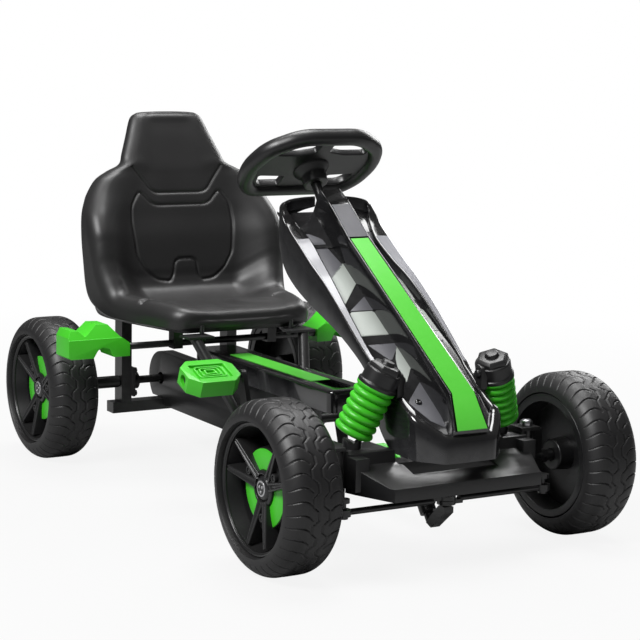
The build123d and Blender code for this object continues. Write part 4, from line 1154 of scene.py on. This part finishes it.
    def _panels(self) -> None:
        """Sunken panels between the spine and the rails, each with a screw near the nose."""
        for side in Side:
            rings = []
            for y, z in smooth_line(self._panel_line(), 60):
                outer = np.interp(y, [-505, -488, -440, -300, -100], [64, 74, 79, 85, 85])
                ring = [(18, 0), (outer - 8, 0), (outer, 2.5), (outer, -1), (outer - 8, -4), (18, -4)]
                rings.append([(side.value * x, y, z + up) for x, up in ring])
            piece = Shape(f"hood_panel_{side.word}")
            piece.grid(np.asarray(rings, float), loop_columns=True, caps=True)
            screw = eased([(-1, 5.4), (1.4, 5.4), (2.6, 4.2), (2.6, 2.4), (1.2, 2.2), (1.2, 0)], 0.4, 2, False)
            spot = (side.value * 46, -457, self._panel_height(-457) + 0.6)
            piece.turned(screw, spot, (0, -0.55, 0.83), 32, closed=False)
            piece.made(self.kart, Look.GLOSS, "chassis", (), sharp=50)

    def _panel_height(self, y: float) -> float:
        """Height of the sunken panels at a distance along the kart."""
        line = smooth_line(self._panel_line(), 60)
        return float(np.interp(y, line[::-1, 0], line[::-1, 1]))

    def _films(self) -> None:
        """Angular silver and slate films on both panels, and a slate patch on the spine's top that is a painted
        reflection.
        """
        for side in Side:
            for (name, look), rows in self.films.items():
                keys = np.asarray(rows, float)
                ys = np.linspace(keys[0, 0], keys[-1, 0], 26)
                near, far = (np.interp(-ys, -keys[:, 0], keys[:, k]) for k in (1, 2))
                height = np.array([self._panel_height(y) for y in ys])
                loop = [np.column_stack([side.value * x, ys, height + up])
                        for x, up in ((near, 0.05), (near, 0.7), (far, 0.7), (far, 0.05))]
                piece = Shape(f"{name}_{side.word}")
                piece.grid(np.stack(loop, axis=1), loop_columns=True, caps=True)
                piece.made(self.kart, look, "chassis", (), sharp=60)
        # Grey patch on the spine's top above the strip: a painted reflection of the bright surround.
        rows = [(-16.5, -152.5, 500.6), (16.5, -152.5, 500.6), (17, -184.3, 474.8), (-17, -184.3, 474.8)]
        rows += [(17.6, -209, 454.9), (-17.6, -209, 454.9)]
        top = np.asarray([[rows[0], rows[1]], [rows[3], rows[2]], [rows[5], rows[4]]], float)
        loop = np.concatenate([top, top[:, ::-1] - (0, -0.5, 0.9)], axis=1)
        piece = Shape("spine_painted_reflection")
        piece.grid(loop, loop_columns=True, caps=True)
        piece.made(self.kart, Look.SLATE, "chassis", (), sharp=20)

    def _stripe(self) -> None:
        """Green strip along the spine, wider round the nose."""
        line = np.asarray(self.spine[3:], float)
        half = (16.0, 19.0, 26.0)
        rings = []
        for (y, z), wide in zip(line, half):
            rings.append([(-wide, y - 0.2, z - 0.4), (-wide, y - 0.6, z + 0.4), (wide, y - 0.6, z + 0.4),
                          (wide, y - 0.2, z - 0.4)])
        piece = Shape("hood_strip")
        rings[-1] = [(x, y - 1.2, z + 0.5) for x, y, z in rings[-1]]
        piece.grid(np.asarray(rings, float), loop_columns=True, caps=True)
        piece.made(self.kart, Look.DECAL, "chassis", ("hood_stripe",))

    def build(self) -> None:
        """Builds the cowl."""
        self._rail()
        self._spine()
        self._panels()
        self._films()
        self._stripe()


@dataclass
class Shock(Assembly):
    """Decorative shock absorber: ribbed green boot under a black hexagonal cap."""

    side: Side
    top: Triple = (90.6, -446.0, 301.5)
    foot: Triple = (132.0, -415.0, 192.0)
    ring: float = 30.0
    root: float = 24.5
    rings: int = 7
    cap_length: float = 42.0

    def build(self) -> None:
        """Builds the boot and the cap."""
        head = Vector((self.top[0] * self.side.value, self.top[1], self.top[2]))
        foot = Vector((self.foot[0] * self.side.value, self.foot[1], self.foot[2]))
        axis = (foot - head).normalized()
        length = (foot - head).length
        share = np.linspace(0.0, 1.0, self.rings * 16 + 1)
        bulge = np.abs(np.sin(share * self.rings * math.pi)) ** 0.55
        start = self.cap_length - 4
        along = start + share * (length - start)
        radius = self.root + (self.ring - self.root) * bulge
        line = np.vstack([[(start, 0)], np.column_stack([along, radius]), [(length, 0)]])
        boot = Shape(f"shock_bellows_{self.side.word}")
        boot.turned(line, tuple(head), tuple(axis), 72, closed=False)
        boot.made(self.kart, Look.GREEN, "chassis", (f"shock_boot_{self.side.word}",), sharp=70)
        self._cap(head, axis)

    def _cap(self, head: Vector, axis: Vector) -> None:
        """Round collar under a chamfered hexagon with a button, and the lug that bolts to the hood.

        Args:
            head: Top of the cap.
            axis: Direction down the shock absorber.
        """
        cap = Shape(f"shock_cap_body_{self.side.word}")
        collar = eased([(16, 0), (15.5, 24.5), (17, 27), (self.cap_length - 6, 27.4), (self.cap_length - 4.5, 30),
                        (self.cap_length + 1, 30), (self.cap_length + 1, 20)], 1.2, 3, False)
        cap.turned(collar, tuple(head), tuple(axis), 72, closed=False)
        hexagon = np.array([(6.4, 0), (6.4, 19.5), (6.9, 21.5), (10.0, 25.4), (17.0, 25.8), (17.0, 0)])
        cap.turned(hexagon, tuple(head), tuple(axis), 6, closed=False)
        button = eased([(0.6, 0), (0.6, 8.4), (1.8, 9.8), (4.6, 10.2), (6.6, 11.6), (6.6, 0)], 0.7, 2, False)
        cap.turned(button, tuple(head), tuple(axis), 40, closed=False)
        sign, y, z = self.side.value, self.top[1] + 1, self.top[2]
        outline = eased([(y - 8, z - 22), (y + 8, z - 16), (y + 9, z - 40), (y + 2, z - 58), (y - 8, z - 56)], 5, 4)
        cap.prism(outline, Axis.X, sign * 69, sign * 80)
        cap.turned(eased([(-4, 0), (-4, 5), (-2.6, 6), (8, 6), (8, 0)], 0.8, 2, False), (sign * 68, y, z - 31),
                   (sign, 0, 0), 32, closed=False)
        cap.made(self.kart, Look.PLASTIC, "chassis", (f"shock_cap_{self.side.word}",), bevel=0.7, sharp=35)


@dataclass
class Pedal(Assembly):
    """Octagonal pedal block with raised tread rings."""

    side: Side
    inner: float = 102.0
    width: float = 96.0
    depth: float = 70.0
    thick: float = 28.0
    tilt: float = 21.0
    lean: float = 17.0
    throw: float = 84.0
    crank: Pair = (-20.0, 125.0)

    def build(self) -> None:
        """Builds the block and its tread."""
        sign = self.side.value
        lean = math.radians(self.lean)
        place = Vector((sign * (self.inner + self.width / 2), self.crank[0] - sign * self.throw * math.sin(lean),
                        self.crank[1] - sign * self.throw * math.cos(lean)))
        move = Matrix.Translation(place) @ Euler((math.radians(self.tilt), 0, 0)).to_matrix().to_4x4()
        self.kart.softened(f"pedal_{self.side.word}", Look.GREEN, f"pedal_{self.side.word}", 2.2)
        piece = Shape(f"pedal_tread_{self.side.word}")
        base = self.thick / 2 - 6
        for scale in (0.80, 0.56, 0.32):
            a, b = (self.width / 2 - 16) * scale, (self.depth / 2 - 14) * scale
            outer = eased([(a, -b), (a, b), (-a, b), (-a, -b)], 9 * scale, 5)
            inner = outer * ((a - 2.6) / a, (b - 2.6) / b)
            rings = [np.insert(outer * 1.02, 2, base, axis=1), np.insert(outer, 2, base + 5, axis=1),
                     np.insert(inner, 2, base + 5, axis=1), np.insert(inner * 0.98, 2, base, axis=1)]
            piece.grid(np.stack(rings), loop_columns=True, loop_rows=True)
        piece.made(self.kart, Look.GREEN, f"pedal_{self.side.word}", (), bevel=0.6, move=move)


@dataclass
class BodyWork(Assembly):
    """Bumper, frame cover, mudguards and chain case: CAD mouldings with their edges rounded."""

    def build(self) -> None:
        """Builds every rounded moulding."""
        self.kart.softened("front_bumper", Look.PLASTIC, "chassis", 2.5)
        self.kart.softened("frame_cover", Look.GLOSS, "chassis", 2.2)
        for side in Side:
            self.kart.softened(f"mudguard_{side.word}", Look.GREEN, "chassis", 5.0, 5, sharp=80.0)
        for half in ("outer", "inner"):
            self.kart.softened(f"chain_case_{half}", Look.PLASTIC, "chassis", 1.0)


@dataclass
class Chassis(Assembly):
    """CAD pieces that keep their shape and take their finish."""

    KEPT = {
        Look.FRAME: ("main_tube", "front_beam", "steering_tube", "steering_column", "rear_cross_bar",
                     "rear_bearings",
                     "rear_post_right", "rear_post_left", "seat_strut_right", "seat_strut_left", "mudguard_rod",
                     "crankshaft", "rear_axle", "seat_bolts", "knuckle_right", "knuckle_left",
                     "tie_rod_right", "tie_rod_left"),
        Look.STEEL: ("kingpins", "crank_sprocket", "rear_sprocket", "drive_chain"),
        Look.PLASTIC: ("steering_cap", "wheel_bushes_front_right", "wheel_bushes_front_left",
                       "wheel_bushes_rear_right", "wheel_bushes_rear_left"),
        Look.DECAL: ("frame_cover_stripe",),
    }

    def build(self) -> None:
        """Dresses every kept node."""
        for look, names in self.KEPT.items():
            for name in names:
                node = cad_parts[name]
                self.kart.palette.dress(node, look)
                node.data.shade_smooth()
                node.data.set_sharp_from_angle(angle=math.radians(35))
                LOG.info("%s: kept, %s", name, look.value.name)


# ---- studio -------------------------------------------------------------------
@dataclass
class Studio:
    """Pale floor, soft lamps and the camera."""

    lens: float = 106.25
    azimuth: float = -30.852
    elevation: float = 8.553
    roll: float = 1.153
    eye: Triple = (-1.5596, -2.7066, 0.7642)

    def floor(self) -> None:
        """Pale sweep that the kart stands on."""
        mesh = bpy.data.meshes.new("studio_floor")
        mesh.from_pydata([(-9, -9, 0), (9, -9, 0), (9, 9, 0), (-9, 9, 0)], [], [(0, 1, 2, 3)])
        floor = bpy.data.objects.new("studio_floor", mesh)
        bpy.context.scene.collection.objects.link(floor)
        material = bpy.data.materials.new("pale_floor")
        material.use_nodes = True
        shader = material.node_tree.nodes["Principled BSDF"]
        shader.inputs["Base Color"].default_value = (0.34, 0.34, 0.34, 1.0)
        shader.inputs["Roughness"].default_value = 0.9
        shader.inputs["Specular IOR Level"].default_value = 0.1
        self._even_white(material.node_tree, shader)
        mesh.materials.append(material)

    @staticmethod
    def _even_white(tree: Tree, shader: Node) -> None:
        """Lifts the floor towards white where the camera sees it straight on.

        Args:
            tree: Floor material's tree.
            shader: Floor's own shader.
        """
        glow = tree.nodes.new("ShaderNodeEmission")
        path = tree.nodes.new("ShaderNodeLightPath")
        place = tree.nodes.new("ShaderNodeNewGeometry")
        away = tree.nodes.new("ShaderNodeVectorMath")
        away.operation = "LENGTH"
        level = tree.nodes.new("ShaderNodeMapRange")
        for label, value in (("From Min", 0.5), ("From Max", 2.2), ("To Min", 0.88), ("To Max", 1.0)):
            level.inputs[label].default_value = value
        share = tree.nodes.new("ShaderNodeMath")
        mix = tree.nodes.new("ShaderNodeMixShader")
        share.operation = "MULTIPLY"
        tree.links.new(place.outputs["Position"], away.inputs[0])
        tree.links.new(away.outputs["Value"], level.inputs["Value"])
        tree.links.new(level.outputs["Result"], share.inputs[1])
        tree.links.new(path.outputs["Is Camera Ray"], share.inputs[0])
        tree.links.new(share.outputs[0], mix.inputs[0])
        tree.links.new(shader.outputs[0], mix.inputs[1])
        tree.links.new(glow.outputs[0], mix.inputs[2])
        tree.links.new(mix.outputs[0], tree.nodes["Material Output"].inputs["Surface"])

    def lamp(self, name: str, place: Triple, size: Pair, power: float) -> None:
        """Soft area lamp aimed at the kart.

        Args:
            name: Lamp's name.
            place: Where it hangs, in metres.
            size: Width and height, in metres.
            power: Watts.
        """
        data = bpy.data.lights.new(name, "AREA")
        data.shape = "RECTANGLE"
        data.size, data.size_y = size
        data.energy = power
        lamp = bpy.data.objects.new(name, data)
        bpy.context.scene.collection.objects.link(lamp)
        lamp.location = place
        aim = Vector((0.0, 0.0, 0.25)) - Vector(place)
        lamp.rotation_euler = aim.to_track_quat("-Z", "Y").to_euler()

    def sky(self) -> None:
        """Even white surround."""
        world = bpy.data.worlds.new("studio")
        world.use_nodes = True
        tree = world.node_tree
        back = tree.nodes["Background"]
        back.inputs["Color"].default_value = (1.0, 1.0, 1.0, 1.0)
        path = tree.nodes.new("ShaderNodeLightPath")
        level = tree.nodes.new("ShaderNodeMapRange")
        level.inputs["To Min"].default_value = 0.12
        level.inputs["To Max"].default_value = 1.0
        tree.links.new(path.outputs["Is Camera Ray"], level.inputs["Value"])
        tree.links.new(level.outputs["Result"], back.inputs["Strength"])
        bpy.context.scene.world = world
        bpy.context.scene.view_settings.view_transform = "Standard"

    def camera(self) -> None:
        """Camera on the driver's right, ahead of the kart."""
        az, el, roll = (math.radians(v) for v in (self.azimuth, self.elevation, self.roll))
        back = Vector((math.sin(az) * math.cos(el), -math.cos(az) * math.cos(el), math.sin(el)))
        right = Vector((math.cos(az), math.sin(az), 0.0))
        up = back.cross(right)
        across = math.cos(roll) * right + math.sin(roll) * up
        above = -math.sin(roll) * right + math.cos(roll) * up
        data = bpy.data.cameras.new("camera")
        data.lens = self.lens
        data.sensor_width = 36.0
        camera = bpy.data.objects.new("camera", data)
        bpy.context.scene.collection.objects.link(camera)
        camera.matrix_world = Matrix((across, above, back)).transposed().to_4x4()
        camera.location = self.eye
        bpy.context.scene.camera = camera

    def build(self) -> None:
        """Sets the studio up."""
        self.floor()
        self.sky()
        self.lamp("key", (-2.6, -1.0, 3.0), (1.5, 1.1), 165.0)
        self.lamp("top", (0.4, 0.4, 3.4), (2.0, 1.6), 120.0)
        self.lamp("rim", (2.8, 1.6, 1.8), (1.4, 1.4), 50.0)
        self.camera()


def main() -> None:
    """Builds the kart and the studio around it, in order."""
    logging.basicConfig(level=logging.INFO, format="%(name)s %(message)s")
    kart = Kart(Palette())
    for wheel in (Wheel(kart, "front_right", Side.RIGHT, (-261.5, FRONT_Y, AXLE_Z), "front_wheel_right", turn=1.10),
                  Wheel(kart, "front_left", Side.LEFT, (261.5, FRONT_Y, AXLE_Z), "front_wheel_left", turn=0.25),
                  Wheel(kart, "rear_right", Side.RIGHT, (-252.7, REAR_Y, AXLE_Z), "rear_axle", turn=0.70),
                  Wheel(kart, "rear_left", Side.LEFT, (252.7, REAR_Y, AXLE_Z), "rear_wheel_left", turn=0.5)):
        wheel.build()
    for piece in (Seat(kart), SteeringWheel(kart), Hood(kart)):
        piece.build()
    for side in Side:
        Shock(kart, side).build()
        Pedal(kart, side).build()
    BodyWork(kart).build()
    Chassis(kart).build()
    Studio().build()


if __name__ == "__main__":
    main()
